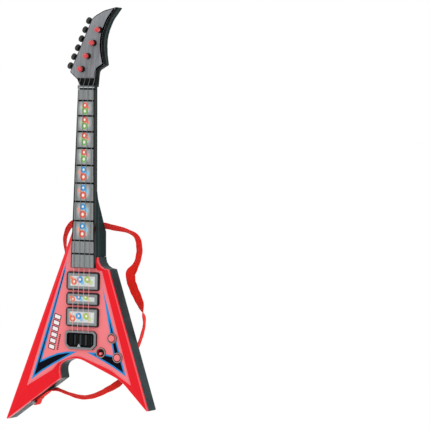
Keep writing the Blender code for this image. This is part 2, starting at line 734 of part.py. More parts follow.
def key_corners(index, shrink):
    heights = cell_lines()
    high = heights[index] - FRET_WIDTH / 2 - shrink
    low = heights[index + 1] + FRET_WIDTH / 2 + shrink
    side = KEY_SIDE_MARGIN + shrink
    return [(-neck_half_width(low) + side, low, 0.6), (neck_half_width(low) - side, low, 0.6),
            (neck_half_width(high) - side, high, 0.6), (-neck_half_width(high) + side, high, 0.6)]


def fretboard():
    ends = [(-END_HALF_WIDTH, FRETBOARD_END, 0.6), (END_HALF_WIDTH, FRETBOARD_END, 0.6),
            (NUT_HALF_WIDTH, FRETBOARD_TOP, 0.6), (-NUT_HALF_WIDTH, FRETBOARD_TOP, 0.6)]
    board = plate("fretboard", rounded(ends, 2), FRETBOARD_FRONT, HEAD_FACE - GAP, BLACK)
    for index in range(KEY_COUNT):
        cut(board, plate(f"key_way_{index}", rounded(key_corners(index, 0.0), 1),
                         FRETBOARD_FRONT - PAST, PAST))


def fret_keys():
    for index in range(KEY_COUNT):
        front = FRETBOARD_FRONT - KEY_PROUD
        outline = rounded(key_corners(index, RUNNING_GAP), 2)
        key = plate(f"fret_key_{index + 1}", outline, front, front + KEY_DEPTH, GREY)
        edge = key.modifiers.new("edges", "BEVEL")
        edge.width = 0.35 * MM
        edge.segments = 1
        edge.limit_method = "ANGLE"


def nut_and_clamp():
    box("nut", (-NUT_HALF_WIDTH - 0.4, NUT_FRONT, FRETBOARD_TOP + 1.2),
        (NUT_HALF_WIDTH + 0.4, HEAD_FACE - GAP, -3.0), SILVER, 0.6)
    clamp_outline = [(-NUT_HALF_WIDTH, -1.8, 0.5), (NUT_HALF_WIDTH, -1.8, 0.5),
                     (NUT_HALF_WIDTH - 0.4, 8.6, 0.5), (-NUT_HALF_WIDTH - 4.2, 8.6, 0.5)]
    clamp = plate("string_clamp", rounded(clamp_outline, 2), CLAMP_FRONT, HEAD_FACE - GAP, BLACK)
    for index in range(POST_COUNT):
        x = string_x(index, STRING_SPREAD_NUT)
        cut(clamp, box(f"clamp_groove_{index}", (x - 1.1, CLAMP_FRONT - PAST, -6.0),
                       (x + 1.1, CLAMP_FRONT + 0.9, 12.0)))


# ---------------------------------------------------------------- strings
def strings():
    clear = STRING_RADIUS + GAP
    for index in range(POST_COUNT):
        post = Vector(post_place(index))
        nut_x = string_x(index, STRING_SPREAD_NUT)
        end_x = string_x(index, STRING_SPREAD_BRIDGE) + BRIDGE_CENTRE_X * 0.4
        leave = (Vector((nut_x, 4.0)) - post).normalized() * (POST_RADIUS + clear)
        frame_high = down(BRIDGE_TOP)
        route = [
            (post.x + leave.x, HEAD_FACE - 3.0, post.y + leave.y),
            (nut_x, CLAMP_FRONT - clear, 6.0),
            (nut_x, NUT_FRONT - clear, -3.4),
            (nut_x, NUT_FRONT - clear, FRETBOARD_TOP + 1.4),
            (end_x, BRIDGE_FRONT - clear - 2.9, frame_high + 1.0),
            (end_x, BRIDGE_FRONT - clear, frame_high - 2.6),
        ]
        wire = bpy.data.curves.new(f"string_{index + 1}", "CURVE")
        wire.dimensions = "3D"
        wire.bevel_depth = STRING_RADIUS * MM
        wire.bevel_resolution = 2
        wire.use_fill_caps = True
        wire.materials.append(STRING)
        spline = wire.splines.new("POLY")
        spline.points.add(len(route) - 1)
        for point, place in zip(spline.points, route):
            point.co = (*(Vector(place) * MM), 1.0)
        made = bpy.data.objects.new(f"string_{index + 1}", wire)
        guitar.objects.link(made)


# ---------------------------------------------------------------- pads, bridge and buttons
def pads():
    for number, z_low, z_high in pad_places():
        outer = pad_frame_corners(z_low, z_high)
        inner = inset(outer, PAD_FRAME_BORDER)
        frame = loft(f"pad_frame_{number}", [
            [(x, PAD_FRAME_FRONT + 1.0, z) for x, z in rounded(inset(outer, 2.2), 3)],
            [(x, PAD_FRAME_FRONT, z) for x, z in rounded(inset(outer, 1.2), 3)],
            [(x, PAD_FRAME_FRONT + 0.9, z) for x, z in rounded(outer, 3)],
            [(x, LABEL_FLOOR - GAP, z) for x, z in rounded(outer, 3)],
        ], GREY, 30)
        cut(frame, plate(f"pad_way_{number}", rounded(inner, 3), PAD_FRAME_FRONT - PAST,
                         LABEL_FLOOR + PAST))
        pad = plate(f"pad_{number}", rounded(inset(inner, RUNNING_GAP), 3), PAD_FRONT,
                    LABEL_FLOOR - 0.1, SCREEN)
        stem = inset(inner, 2.0)
        join(pad, plate(f"pad_stem_{number}", rounded(stem, 1), LABEL_FLOOR - 0.4,
                        BOARD_FRONT - PAD_TRAVEL - 0.8))


def bridge():
    outer = bridge_corners()
    frame = loft("bridge_frame", [
        [(x, BRIDGE_FRONT, z) for x, z in rounded(inset(outer, 0.8), 1)],
        [(x, BRIDGE_FRONT + 0.8, z) for x, z in rounded(outer, 1)],
        [(x, LABEL_FLOOR - GAP, z) for x, z in rounded(outer, 1)],
    ], GREY, 30)
    inner = inset(outer, BRIDGE_BORDER)
    cut(frame, plate("bridge_way", rounded(inner, 1), BRIDGE_FRONT - PAST, LABEL_FLOOR + PAST))
    base = plate("bridge_saddles", rounded(inset(inner, GAP), 1), -0.6, SHELL_INSIDE + 2.0, BLACK)
    inner_left = min(corner[0] for corner in inner) + 2.6
    inner_right = max(corner[0] for corner in inner) - 2.6
    low = min(corner[1] for corner in inner) + 3.4
    high = max(corner[1] for corner in inner) - 2.0
    pitch = (inner_right - inner_left) / SADDLE_COUNT
    for index in range(SADDLE_COUNT):
        middle = inner_left + pitch * (index + 0.5)
        rib = drill(f"saddle_rib_{index}", facing((0, 0, 1), (middle, -0.9, 0)), pitch * 0.42,
                    low, high, 10)
        join(base, rib)


def buttons():
    for number, (x, z) in enumerate(RING_PLACES, start=1):
        profile = [(RING_SOCKET, RING_FRONT * -1), (RING_RADIUS - 0.7, RING_FRONT * -1),
                   (RING_RADIUS, RING_FRONT * -1 - 0.9), (RING_RADIUS, -(LABEL_FLOOR - GAP)),
                   (RING_SOCKET, -(LABEL_FLOOR - GAP)), (RING_SOCKET, RING_FRONT * -1)]
        turned(f"button_ring_{number}", profile, frontwards(x, z), GREY, 20)
    stem_end = -(BOARD_FRONT - BUTTON_TRAVEL - 0.8)
    for name, (x, z) in BUTTON_PLACES.items():
        crown = -BUTTON_FRONT
        profile = [(0, crown), (BUTTON_RADIUS - 2.0, crown - 0.1), (BUTTON_RADIUS - 0.5, crown - 0.6),
                   (BUTTON_RADIUS, crown - 1.5), (BUTTON_RADIUS, stem_end), (0, stem_end)]
        turned(f"button_{name}", profile, frontwards(x, z), PINK, 16)
    x, z = SWITCH_PLACE
    profile = [(0, 2.6), (SWITCH_RADIUS - 0.9, 2.5), (SWITCH_RADIUS, 1.7), (SWITCH_RADIUS, -8.0),
               (0, -8.0)]
    turned("power_switch", profile, frontwards(x, z - SWITCH_TRAVEL / 2), SCARLET, 10)


# ---------------------------------------------------------------- electronics and batteries
def battery_box_sides():
    half_x = BATTERY_LENGTH / 2 + 3.0 + BOX_WALL
    half_z = BATTERY_PITCH * (BATTERY_COUNT - 1) / 2 + BATTERY_RADIUS + 0.6 + BOX_WALL
    middle = down(-BATTERY_Z)
    return (-half_x, middle - half_z), (half_x, middle + half_z)


def battery_bay():
    low, high = battery_box_sides()
    front = BODY_BACK - COVER_THICKNESS - 2 * BATTERY_RADIUS - 2.6
    inside_back = BODY_BACK - COVER_THICKNESS - 0.6
    tray = box("battery_box", (low[0], front, low[1]), (high[0], inside_back, high[1]), BLACK)
    cut(tray, box("tray_hollow", (low[0] + BOX_WALL, front + BOX_WALL, low[1] + BOX_WALL),
                  (high[0] - BOX_WALL, BODY_BACK, high[1] - BOX_WALL)))
    middle = down(-BATTERY_Z)
    depth = front + BOX_WALL + GAP + BATTERY_RADIUS
    for index in range(BATTERY_COUNT):
        z = middle + (index - (BATTERY_COUNT - 1) / 2) * BATTERY_PITCH
        half = BATTERY_LENGTH / 2
        turn = 1 if index % 2 else -1
        profile = [(0, half), (2.6, half), (2.6, half - 1.2), (BATTERY_RADIUS - 0.6, half - 1.2),
                   (BATTERY_RADIUS, half - 1.8), (BATTERY_RADIUS, -half), (0, -half)]
        turned(f"battery_{index + 1}", profile, facing((turn, 0, 0), (0, depth, z)), CELL, 14)
    cover = box("battery_cover", (low[0], inside_back + GAP, low[1]), (high[0], BODY_BACK, high[1]),
                DARK, 0.4)
    screw_x, screw_z = cover_screw_place()
    cut(cover, drill("cover_way", backwards(screw_x, screw_z), SCREW_SHANK + GAP, 0.0, BODY_BACK + 2.0))
    for index in range(4):
        z = high[1] - 6.0 - index * 3.0
        cut(cover, box(f"cover_grip_{index}", (-9.0, BODY_BACK - 0.6, z - 0.7),
                       (9.0, BODY_BACK + PAST, z + 0.7)))


def cover_screw_place():
    low, high = battery_box_sides()
    return 0.0, low[1] + 4.2


def screw(name, x, z, head_top, look=STEEL, length=12.0):
    profile = [(0, head_top), (SCREW_HEAD - 0.9, head_top), (SCREW_HEAD, head_top - 0.7),
               (SCREW_HEAD, head_top - 1.6), (SCREW_SHANK, head_top - 1.6),
               (SCREW_SHANK, head_top - length), (0, head_top - length)]
    made = turned(name, profile, backwards(x, z), look, 12)
    for turn in (0, 90):
        slot = box(f"{name}_slot_{turn}", (-2.0, -0.45, head_top - 0.6), (2.0, 0.45, head_top + PAST))
        slot.matrix_world = backwards(x, z) @ Matrix.Rotation(math.radians(turn), 4, "Z")
        cut(made, slot)
    return made


def screws():
    for number, (x, z, tall) in enumerate(SHELL_SCREWS, start=1):
        kind = "shell_screw" if tall else "neck_screw"
        length = BODY_BACK - 1.2 - (RIM - 3.0) if tall else 14.0
        screw(f"{kind}_{number if tall else number - 2}", x, z, BODY_BACK - 1.2, length=length)
    x, z = cover_screw_place()
    screw("battery_cover_screw", x, z, BODY_BACK + 1.9, length=4.6)


def electronics():
    board_right = min(BUTTON_PLACES["2"][0] + 9.0, 74.0)
    top, bottom = down(8.0), down(137.0)
    outline = [(-30.0, top - 4.0, 1.0), (27.0, top - 4.0, 1.0), (board_right, down(106.0), 1.0),
               (board_right, down(146.0), 1.0), (board_right - 24.0, bottom, 1.0),
               (-30.0, bottom, 1.0)]
    board = plate("main_board", rounded(outline, 2), BOARD_FRONT, BOARD_FRONT + BOARD_THICKNESS, BOARD)
    for number, (x, z, tall) in enumerate(SHELL_SCREWS):
        if tall:
            cut(board, drill(f"board_clear_{number}", backwards(x, z), BOSS_RADIUS + 0.8, 0.0, 40.0))
    radius = SPEAKER_RADIUS
    back = BODY_BACK - FLOOR - GAP
    profile = [(0, 0), (radius * 0.5, -4.0), (radius - 2.5, -0.8), (radius, -0.8), (radius, -2.6),
               (radius * 0.5, -SPEAKER_DEPTH + 5.0), (radius * 0.46, -SPEAKER_DEPTH),
               (0, -SPEAKER_DEPTH)]
    turned("speaker", profile, backwards(0, down(-SPEAKER_Z), back), CONE, 20)
    half = NUT_HALF_WIDTH - NECK_WALL - 2.2
    box("neck_light_board", (-half, 2.4, HEEL_BOTTOM + 6.0), (half, 4.0, FRETBOARD_TOP - 6.0), BOARD)


# ---------------------------------------------------------------- strap and its lugs
def lug(name, place):
    """A staple that the webbing is sewn round; its own Z axis leaves the wall."""
    half = LUG_WIDTH / 2
    made = box(name, (-half, -2.2, GAP), (half, 2.2, LUG_HEIGHT), BLACK, 0.5)
    made.matrix_world = place
    way = box(f"{name}_way", (-half + LUG_BAR, -5.0, -PAST), (half - LUG_BAR, 5.0, LUG_HEIGHT - LUG_BAR))
    way.matrix_world = place
    cut(made, way)


def lower_wall_frame():
    """Placement on the left leg's lower wall at the lug, with Z leaving the wall."""
    tip = Vector((LEFT_TIP[0], down(-LEFT_TIP[1])))
    corner = Vector(RIM_CORNERS[2][:2])
    along = (corner - tip).normalized()
    share = (LOWER_LUG[0] - tip.x) / (corner.x - tip.x)
    spot = tip.lerp(corner, share)
    outward = Vector((along.y, 0.0, -along.x))
    upwards = Vector((along.x, 0.0, along.y))
    turn = Matrix((Vector((0.0, 1.0, 0.0)), upwards, outward)).transposed().to_4x4()
    return Matrix.Translation(Vector((spot.x, LOWER_LUG[1], spot.y)) * MM) @ turn


def catmull(points, index, share):
    """A point of the smooth curve through the points, in the span that starts at index."""
    last = len(points) - 1
    p0, p1 = points[max(index - 1, 0)], points[index]
    p2, p3 = points[index + 1], points[min(index + 2, last)]
    return [0.5 * (2 * b + (c - a) * share + (2 * a - 5 * b + 4 * c - d) * share ** 2
                   + (3 * b - a - 3 * c + d) * share ** 3)
            for a, b, c, d in zip(p0, p1, p2, p3)]


def strap():
    steps = 2
    stations = [catmull(STRAP_ROUTE, index, step / steps)
                for index in range(len(STRAP_ROUTE) - 1) for step in range(steps)]
    stations.append(list(STRAP_ROUTE[-1]))
    rings = []
    for index, (x, y, z, turn) in enumerate(stations):
        before = Vector(stations[max(index - 1, 0)][:3])
        after = Vector(stations[min(index + 1, len(stations) - 1)][:3])
        run = (after - before).normalized()
        across = run.cross(Vector((0, 1, 0))).normalized()
        deep = across.cross(run).normalized()
        angle = math.radians(turn)
        wide = (across * math.cos(angle) + deep * math.sin(angle)) * (STRAP_WIDTH / 2)
        thick = wide.cross(run).normalized() * (STRAP_THICKNESS / 2)
        centre = Vector((x, y, z))
        rings.append([centre + wide + thick, centre - wide + thick,
                      centre - wide - thick, centre + wide - thick])
    facets = loft("strap", rings, WEBBING).modifiers.new("facets", "TRIANGULATE")
    facets.quad_method = "FIXED"


def strap_and_lugs():
    lug("strap_lug_lower", lower_wall_frame())
    turn = Matrix.Rotation(math.radians(-45), 4, "Z")
    lug("strap_lug_upper", backwards(UPPER_LUG[0], down(-UPPER_LUG[1]), BODY_BACK) @ turn)
    strap()


front_shell()
front_label()
back_shell()
neck_shell()
headstock_face()
string_posts()
tuner_knobs()
fretboard()
fret_keys()
nut_and_clamp()
strings()
pads()
bridge()
buttons()
battery_bay()
screws()
electronics()
strap_and_lugs()
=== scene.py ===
# %% [markdown]
# # A toy electric guitar, from bare frame to finished toy
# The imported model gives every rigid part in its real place. This lesson adds what the
# frame lacks: the webbing strap, the printed decoration, the turned posts and knobs, and
# a finish for each surface. All lengths are in metres, and the guitar hangs upright with
# its front facing -Y.

# %% Load the frame
import math

import bmesh
import bpy
from mathutils import Matrix, Vector


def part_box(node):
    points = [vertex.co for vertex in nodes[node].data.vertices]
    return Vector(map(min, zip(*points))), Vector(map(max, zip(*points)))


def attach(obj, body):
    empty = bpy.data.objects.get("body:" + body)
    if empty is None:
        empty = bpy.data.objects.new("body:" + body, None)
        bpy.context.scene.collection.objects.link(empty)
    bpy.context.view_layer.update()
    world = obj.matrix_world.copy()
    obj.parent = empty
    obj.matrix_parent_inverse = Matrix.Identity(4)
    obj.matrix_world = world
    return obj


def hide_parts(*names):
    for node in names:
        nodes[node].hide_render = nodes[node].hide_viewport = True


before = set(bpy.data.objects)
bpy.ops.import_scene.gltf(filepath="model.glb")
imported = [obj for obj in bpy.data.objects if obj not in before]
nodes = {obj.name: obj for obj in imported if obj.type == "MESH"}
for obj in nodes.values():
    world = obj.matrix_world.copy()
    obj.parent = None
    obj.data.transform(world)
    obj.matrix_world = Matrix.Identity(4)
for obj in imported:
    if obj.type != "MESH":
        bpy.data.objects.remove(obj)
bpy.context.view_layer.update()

MM = 0.001

# %% [markdown]
# ## Camera, light and floor
# A long lens from four metres away keeps the neck and the body in true proportion. The
# camera stands to the guitar's right, so the thick dark side of the body shows. The room
# is white all round, which gives plastic its soft broad sheen, and one large lamp at the
# upper left puts the small bright spots on everything domed.

# %% Camera
camera_data = bpy.data.cameras.new("camera")
camera_data.lens = 226.05
camera_data.sensor_width = 36.0
camera_data.clip_end = 50.0
camera = bpy.data.objects.new("camera", camera_data)
camera.location = (1.92392, -3.81734, -0.08565)
camera.rotation_euler = [math.radians(angle) for angle in (88.4253, -1.2856, 24.0353)]
bpy.context.scene.collection.objects.link(camera)
bpy.context.scene.camera = camera
bpy.context.scene.view_settings.view_transform = "Standard"
print("camera at", tuple(round(v, 3) for v in camera.location))

# %% Light
world = bpy.data.worlds.new("white_room")
world.use_nodes = True
world.node_tree.nodes["Background"].inputs["Color"].default_value = (1.0, 1.0, 1.0, 1.0)
world.node_tree.nodes["Background"].inputs["Strength"].default_value = 1.0
bpy.context.scene.world = world


def area_light(name, place, aim, size, power):
    data = bpy.data.lights.new(name, "AREA")
    data.size = size
    data.energy = power
    lamp = bpy.data.objects.new(name, data)
    lamp.location = place
    lamp.rotation_euler = (Vector(aim) - Vector(place)).to_track_quat("-Z", "Y").to_euler()
    bpy.context.scene.collection.objects.link(lamp)
    print(name, power, "W")


area_light("key_softbox", (-0.9, -2.2, 1.3), (0.0, 0.0, -0.25), 0.4, 4.0)
area_light("top_strip", (0.6, -0.4, 1.8), (0.0, 0.0, -0.1), 0.6, 1.0)
area_light("low_back_panel", (-0.43, 1.34, -1.13), (-0.09, 0.02, -0.51), 0.6, 1.3)

# %% [markdown]
# Modelling by hand means selecting, doing one thing, and deselecting. These few helpers
# keep that honest: every new piece starts from a clear selection and ends with its place,
# turn and modifiers written into its mesh.


# %% Helpers for hand modelling
def clear_selection():
    if bpy.context.object and bpy.context.object.mode != "OBJECT":
        bpy.ops.object.mode_set(mode="OBJECT")
    bpy.ops.object.select_all(action="DESELECT")


def activate(obj):
    clear_selection()
    obj.select_set(True)
    bpy.context.view_layer.objects.active = obj


def settle(obj):
    """Applies the modifiers and writes the object's place into its mesh."""
    activate(obj)
    for modifier in list(obj.modifiers):
        bpy.ops.object.modifier_apply(modifier=modifier.name)
    bpy.ops.object.transform_apply(location=True, rotation=True, scale=True)


def finish_piece(obj, name, materials, body="guitar", smooth_angle=35.0):
    """Names a settled piece, gives it its finishes and lets it ride on its body."""
    settle(obj)
    obj.name = name
    obj.data.name = name
    obj.data.materials.clear()
    for finish in materials:
        obj.data.materials.append(finish)
    if smooth_angle:
        bpy.ops.object.shade_smooth_by_angle(angle=math.radians(smooth_angle))
    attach(obj, body)
    clear_selection()
    return obj


def lathe(profile, steps=40):
    """A turned shape about Z: a circle is extruded and scaled through (radius, height) rings."""
    clear_selection()
    radius, height = profile[0]
    bpy.ops.mesh.primitive_circle_add(vertices=steps, radius=radius * MM, fill_type="NGON",
                                      location=(0, 0, 0))
    obj = bpy.context.object
    bpy.ops.object.mode_set(mode="EDIT")
    bpy.ops.transform.translate(value=(0, 0, height * MM))
    for (r0, h0), (r1, h1) in zip(profile, profile[1:]):
        bpy.ops.mesh.extrude_region_move(TRANSFORM_OT_translate={"value": (0, 0, (h1 - h0) * MM)})
        scale = r1 / r0
        bpy.ops.transform.resize(value=(scale, scale, 1.0), center_override=(0, 0, 0))
    bpy.ops.mesh.select_all(action="SELECT")
    bpy.ops.mesh.normals_make_consistent(inside=False)
    bpy.ops.object.mode_set(mode="OBJECT")
    return obj


def flat_shape(points, front, thickness):
    """A thin closed plate from (x, z) points in millimetres, with its face at depth front."""
    clear_selection()
    bpy.ops.mesh.primitive_circle_add(vertices=len(points), radius=1.0, fill_type="NGON")
    obj = bpy.context.object
    for vertex, (x, z) in zip(obj.data.vertices, points):
        vertex.co = (x * MM, front * MM, z * MM)
    bpy.ops.object.mode_set(mode="EDIT")
    bpy.ops.mesh.select_all(action="SELECT")
    bpy.ops.mesh.extrude_region_move(TRANSFORM_OT_translate={"value": (0, thickness * MM, 0)})
    bpy.ops.mesh.select_all(action="SELECT")
    bpy.ops.mesh.normals_make_consistent(inside=False)
    bpy.ops.object.mode_set(mode="OBJECT")
    return obj


def place_like(obj, direction, position):
    """Turns a piece made along Z so that its Z axis points along direction, at position."""
    turn = Vector(direction).to_track_quat("Z", "Y").to_matrix().to_4x4()
    obj.matrix_world = Matrix.Translation(Vector(position)) @ turn


# %% [markdown]
# ## Finishes
# Moulded plastic is never one flat colour. Each finish below starts from a Principled
# shader, and adds the marks its maker left: a faint orange-peel in glossy parts, the fine
# spark-eroded grain of the dark shells, the lengthwise brush marks of the grey face. The
# patterns read Object coordinates, so they stay put when a part moves.


# %% Building blocks for materials
class Finish:
    """A material with a Principled shader and short ways to add nodes to it."""

    def __init__(self, name, colour, roughness, specular=0.5, metallic=0.0):
        self.material = bpy.data.materials.new(name)
        self.material.use_nodes = True
        self.tree = self.material.node_tree
        self.shader = self.tree.nodes["Principled BSDF"]
        self.shader.inputs["Base Color"].default_value = (*srgb(colour), 1.0)
        self.shader.inputs["Roughness"].default_value = roughness
        self.shader.inputs["Specular IOR Level"].default_value = specular
        self.shader.inputs["Metallic"].default_value = metallic
        self.coords = self.node("ShaderNodeTexCoord").outputs["Object"]
        self.material.diffuse_color = (*srgb(colour), 1.0)

    def node(self, kind, **inputs):
        made = self.tree.nodes.new(kind)
        for key, value in inputs.items():
            socket = made.inputs[int(key[1:])] if key[1:].isdigit() else made.inputs[key.replace("_", " ")]
            if isinstance(value, bpy.types.NodeSocket):
                self.tree.links.new(value, socket)
            else:
                socket.default_value = value
        return made

    def math(self, operation, first, second=0.0, third=0.0):
        made = self.node("ShaderNodeMath", i0=first, i1=second, i2=third)
        made.operation = operation
        return made.outputs[0]

    def mix(self, factor, first, second):
        made = self.tree.nodes.new("ShaderNodeMix")
        made.data_type = "RGBA"
        for socket, value in ((made.inputs[0], factor), (made.inputs[6], first), (made.inputs[7], second)):
            if isinstance(value, bpy.types.NodeSocket):
                self.tree.links.new(value, socket)
            elif isinstance(value, tuple):
                socket.default_value = (*srgb(value), 1.0)
            else:
                socket.default_value = value
        return made.outputs[2]

    def noise(self, scale, detail=3.0, stretch=(1.0, 1.0, 1.0)):
        mapping = self.node("ShaderNodeMapping", Vector=self.coords, Scale=stretch)
        noise = self.node("ShaderNodeTexNoise", Vector=mapping.outputs[0], Scale=scale, Detail=detail)
        return noise.outputs["Fac"]

    def ramp(self, value, low, high, out_low=0.0, out_high=1.0):
        made = self.node("ShaderNodeMapRange", i0=value, i1=low, i2=high, i3=out_low, i4=out_high)
        made.interpolation_type = "SMOOTHSTEP"
        return made.outputs[0]

    def colour(self, socket):
        self.tree.links.new(socket, self.shader.inputs["Base Color"])

    def roughness(self, socket):
        self.tree.links.new(socket, self.shader.inputs["Roughness"])

    def bump(self, height, distance, strength=1.0):
        made = self.node("ShaderNodeBump", Height=height, Distance=distance, Strength=strength)
        self.tree.links.new(made.outputs[0], self.shader.inputs["Normal"])


def srgb(colour):
    """Display values from 0 to 255 as the linear values that shaders use."""
    return tuple((v / 255 / 12.92) if v <= 10 else ((v / 255 + 0.055) / 1.055) ** 2.4 for v in colour)


def moulded(name, colour, roughness, specular=0.5, grain=900.0, depth=0.00002, shift=0.06, coat=0.0):
    """A moulded plastic: slight colour drift, uneven gloss and a fine surface grain."""
    finish = Finish(name, colour, roughness, specular)
    drift = finish.noise(14.0, 2.0)
    darker = tuple(v * (1.0 - shift) for v in colour)
    lighter = tuple(min(v * (1.0 + shift), 255) for v in colour)
    finish.colour(finish.mix(drift, darker, lighter))
    grain_height = finish.noise(grain, 4.0)
    finish.roughness(finish.ramp(finish.noise(55.0, 4.0), 0.3, 0.7, roughness * 0.85, roughness * 1.2))
    finish.bump(grain_height, depth)
    finish.shader.inputs["Coat Weight"].default_value = coat
    finish.shader.inputs["Coat Roughness"].default_value = 0.12
    return finish


# %% Plain plastics
red = moulded("gloss_red_plastic", (222, 30, 42), 0.34, 0.35, grain=420.0, depth=0.00001, coat=0.25)
black = moulded("satin_black_plastic", (8, 9, 11), 0.45, 0.1, grain=1800.0, depth=0.00003)
gloss_black = moulded("gloss_black_plastic", (5, 6, 8), 0.28, 0.12, grain=500.0, depth=0.00001)
silver = moulded("silver_grey_plastic", (140, 146, 150), 0.38, 0.5, grain=2200.0, depth=0.00002)
pink = moulded("clear_pink_plastic", (238, 120, 126), 0.3, 0.3, grain=300.0, depth=0.00001, coat=0.2)
post_red = moulded("gloss_post_red", (208, 34, 40), 0.25, 0.5, grain=300.0, depth=0.000001, coat=0.9)
green_board = moulded("lacquered_board", (22, 92, 48), 0.4, 0.5, grain=700.0, depth=0.00003)
sleeve = moulded("battery_sleeve", (60, 110, 70), 0.35, 0.5, grain=500.0, depth=0.00001)
paper = moulded("pressed_paper_cone", (32, 32, 34), 0.85, 0.2, grain=3000.0, depth=0.0001)
steel = Finish("zinc_plated_steel", (150, 150, 154), 0.35, 0.5, 1.0)
steel.bump(steel.noise(1500.0, 3.0, (1.0, 1.0, 0.2)), 0.00002)
print("plain plastics ready")

# %% [markdown]
# ## The strap
# A flat webbing band is woven from coarse yarn with a firm selvedge on each edge. It is
# limp, so it turns about its own run as it hangs between its two lugs. A strip of mesh is
# swept along the route and twisted by a listed angle at each point, which a round cord
# tool could not do, and the weave comes from the strip's own UV map.

# %% The route of the strap
STRAP_WIDTH = 0.016
STRAP_THICKNESS = 0.0016
STRAP_ROUTE = (
    (-90.5, 23.0, -507.8, 90), (-78.8, 23.3, -499.7, 90), (-67.9, 24.0, -491.7, 86),
    (-60.5, 25.0, -489.2, 76), (-52.5, 25.8, -490.4, 88), (-36.5, 27.5, -495.1, 88),
    (-14.0, 31.0, -500.0, 75), (8.0, 34.5, -495.4, 60), (28.0, 39.5, -485.0, 49),
    (47.0, 45.5, -471.0, 37), (61.0, 48.0, -446.0, 55), (72.0, 49.0, -420.0, 78),
    (80.5, 48.0, -397.0, 81), (85.5, 46.0, -378.0, 76), (84.2, 45.0, -365.0, 77),
    (79.0, 45.0, -349.0, 29), (70.0, 45.0, -331.0, 9), (61.5, 45.0, -313.0, 4),
    (59.8, 45.0, -300.0, -7), (68.5, 45.0, -287.0, 31), (73.5, 45.0, -271.0, 32),
    (74.3, 45.0, -257.0, 31), (70.3, 45.0, -243.1, 37), (60.0, 45.0, -235.1, 58),
    (46.0, 44.5, -230.1, 60), (30.0, 44.0, -227.9, 54), (8.0, 43.5, -224.0, 50),
    (-18.0, 43.0, -221.0, 46), (-40.0, 44.0, -221.5, 63), (-53.0, 45.0, -232.0, 85),
    (-58.5, 45.0, -250.0, 98), (-54.0, 44.0, -272.0, 99), (-42.0, 43.6, -290.0, 12),
    (-31.5, 41.8, -300.5, 0),
)


def smooth_point(points, index, share):
    last = len(points) - 1
    around = (points[max(index - 1, 0)], points[index], points[index + 1], points[min(index + 2, last)])
    return [0.5 * (2 * b + (c - a) * share + (2 * a - 5 * b + 4 * c - d) * share ** 2
                   + (3 * b - a - 3 * c + d) * share ** 3) for a, b, c, d in zip(*around)]


STRAP_STEPS = 8
stations = [smooth_point(STRAP_ROUTE, index, step / STRAP_STEPS)
            for index in range(len(STRAP_ROUTE) - 1) for step in range(STRAP_STEPS)]
stations.append(list(STRAP_ROUTE[-1]))
strap_path = [Vector(station[:3]) * MM for station in stations]

# %% Sweep the webbing along it
# Half of the webbing's cross-section: place across the width, and thickness there
SECTION = ((-1.0, 0.35), (-0.97, 0.95), (-0.86, 1.0), (-0.8, 0.72), (-0.4, 0.8), (0.0, 0.82),
           (0.4, 0.8), (0.8, 0.72), (0.86, 1.0), (0.97, 0.95), (1.0, 0.35))
webbing_mesh = bmesh.new()
uv_layer = webbing_mesh.loops.layers.uv.new("weave")
rows = []
travelled = [0.0]
for a, b in zip(strap_path, strap_path[1:]):
    travelled.append(travelled[-1] + (b - a).length)
for index, station in enumerate(stations):
    centre = strap_path[index]
    run = (strap_path[min(index + 1, len(strap_path) - 1)] - strap_path[max(index - 1, 0)]).normalized()
    across = run.cross(Vector((0, 1, 0))).normalized()
    deep = across.cross(run).normalized()
    angle = math.radians(station[3])
    wide = across * math.cos(angle) + deep * math.sin(angle)
    thick = wide.cross(run).normalized()
    ripple = (0.00035 * math.sin(travelled[index] * 410.0)
              + 0.00025 * math.sin(travelled[index] * 163.0 + 1.0))
    loop = []
    for side in (1, -1):
        for place, depth in (SECTION if side > 0 else SECTION[::-1]):
            across_by = wide * (place * STRAP_WIDTH / 2 + ripple * abs(place))
            loop.append(webbing_mesh.verts.new(centre + across_by
                                               + thick * (side * depth * STRAP_THICKNESS / 2)))
    rows.append(loop)
count = len(rows[0])
for index, (near, far) in enumerate(zip(rows, rows[1:])):
    for k in range(count):
        after = (k + 1) % count
        face = webbing_mesh.faces.new((near[k], near[after], far[after], far[k]))
        for corner, (row, column) in zip(face.loops, ((index, k), (index, after), (index + 1, after),
                                                      (index + 1, k))):
            fold = column if column < len(SECTION) else count - 1 - column
            corner[uv_layer].uv = (travelled[row], SECTION[fold][0] * STRAP_WIDTH / 2)
webbing_mesh.faces.new(rows[0])
webbing_mesh.faces.new(rows[-1])
bmesh.ops.recalc_face_normals(webbing_mesh, faces=webbing_mesh.faces)
strap_mesh = bpy.data.meshes.new("strap_webbing")
webbing_mesh.to_mesh(strap_mesh)
webbing_mesh.free()
strap = bpy.data.objects.new("strap_webbing", strap_mesh)
bpy.context.scene.collection.objects.link(strap)
print("strap:", len(strap_mesh.polygons), "faces")

# %% A woven finish that follows the strap
webbing = Finish("red_webbing", (214, 20, 18), 0.75, 0.12)
uv = webbing.node("ShaderNodeUVMap")
uv.uv_map = "weave"
split = webbing.node("ShaderNodeSeparateXYZ", Vector=uv.outputs[0])
along, sideways = split.outputs[0], split.outputs[1]
warp = webbing.math("SINE", webbing.math("MULTIPLY", sideways, 2 * math.pi / 0.0011))
weft = webbing.math("SINE", webbing.math("MULTIPLY", along, 2 * math.pi / 0.0013))
weave = webbing.math("MULTIPLY", warp, weft)
weave_mask = webbing.ramp(weave, -0.9, 0.9)
selvedge = webbing.ramp(webbing.math("ABSOLUTE", sideways), 0.0062, 0.0068)
cloth = webbing.mix(weave_mask, (236, 24, 16), (255, 54, 42))
cloth = webbing.mix(webbing.math("MULTIPLY", webbing.noise(60.0, 3.0), 0.35), cloth, (238, 26, 18))
webbing.colour(webbing.mix(webbing.math("MULTIPLY", selvedge, 0.45), cloth, (204, 16, 13)))
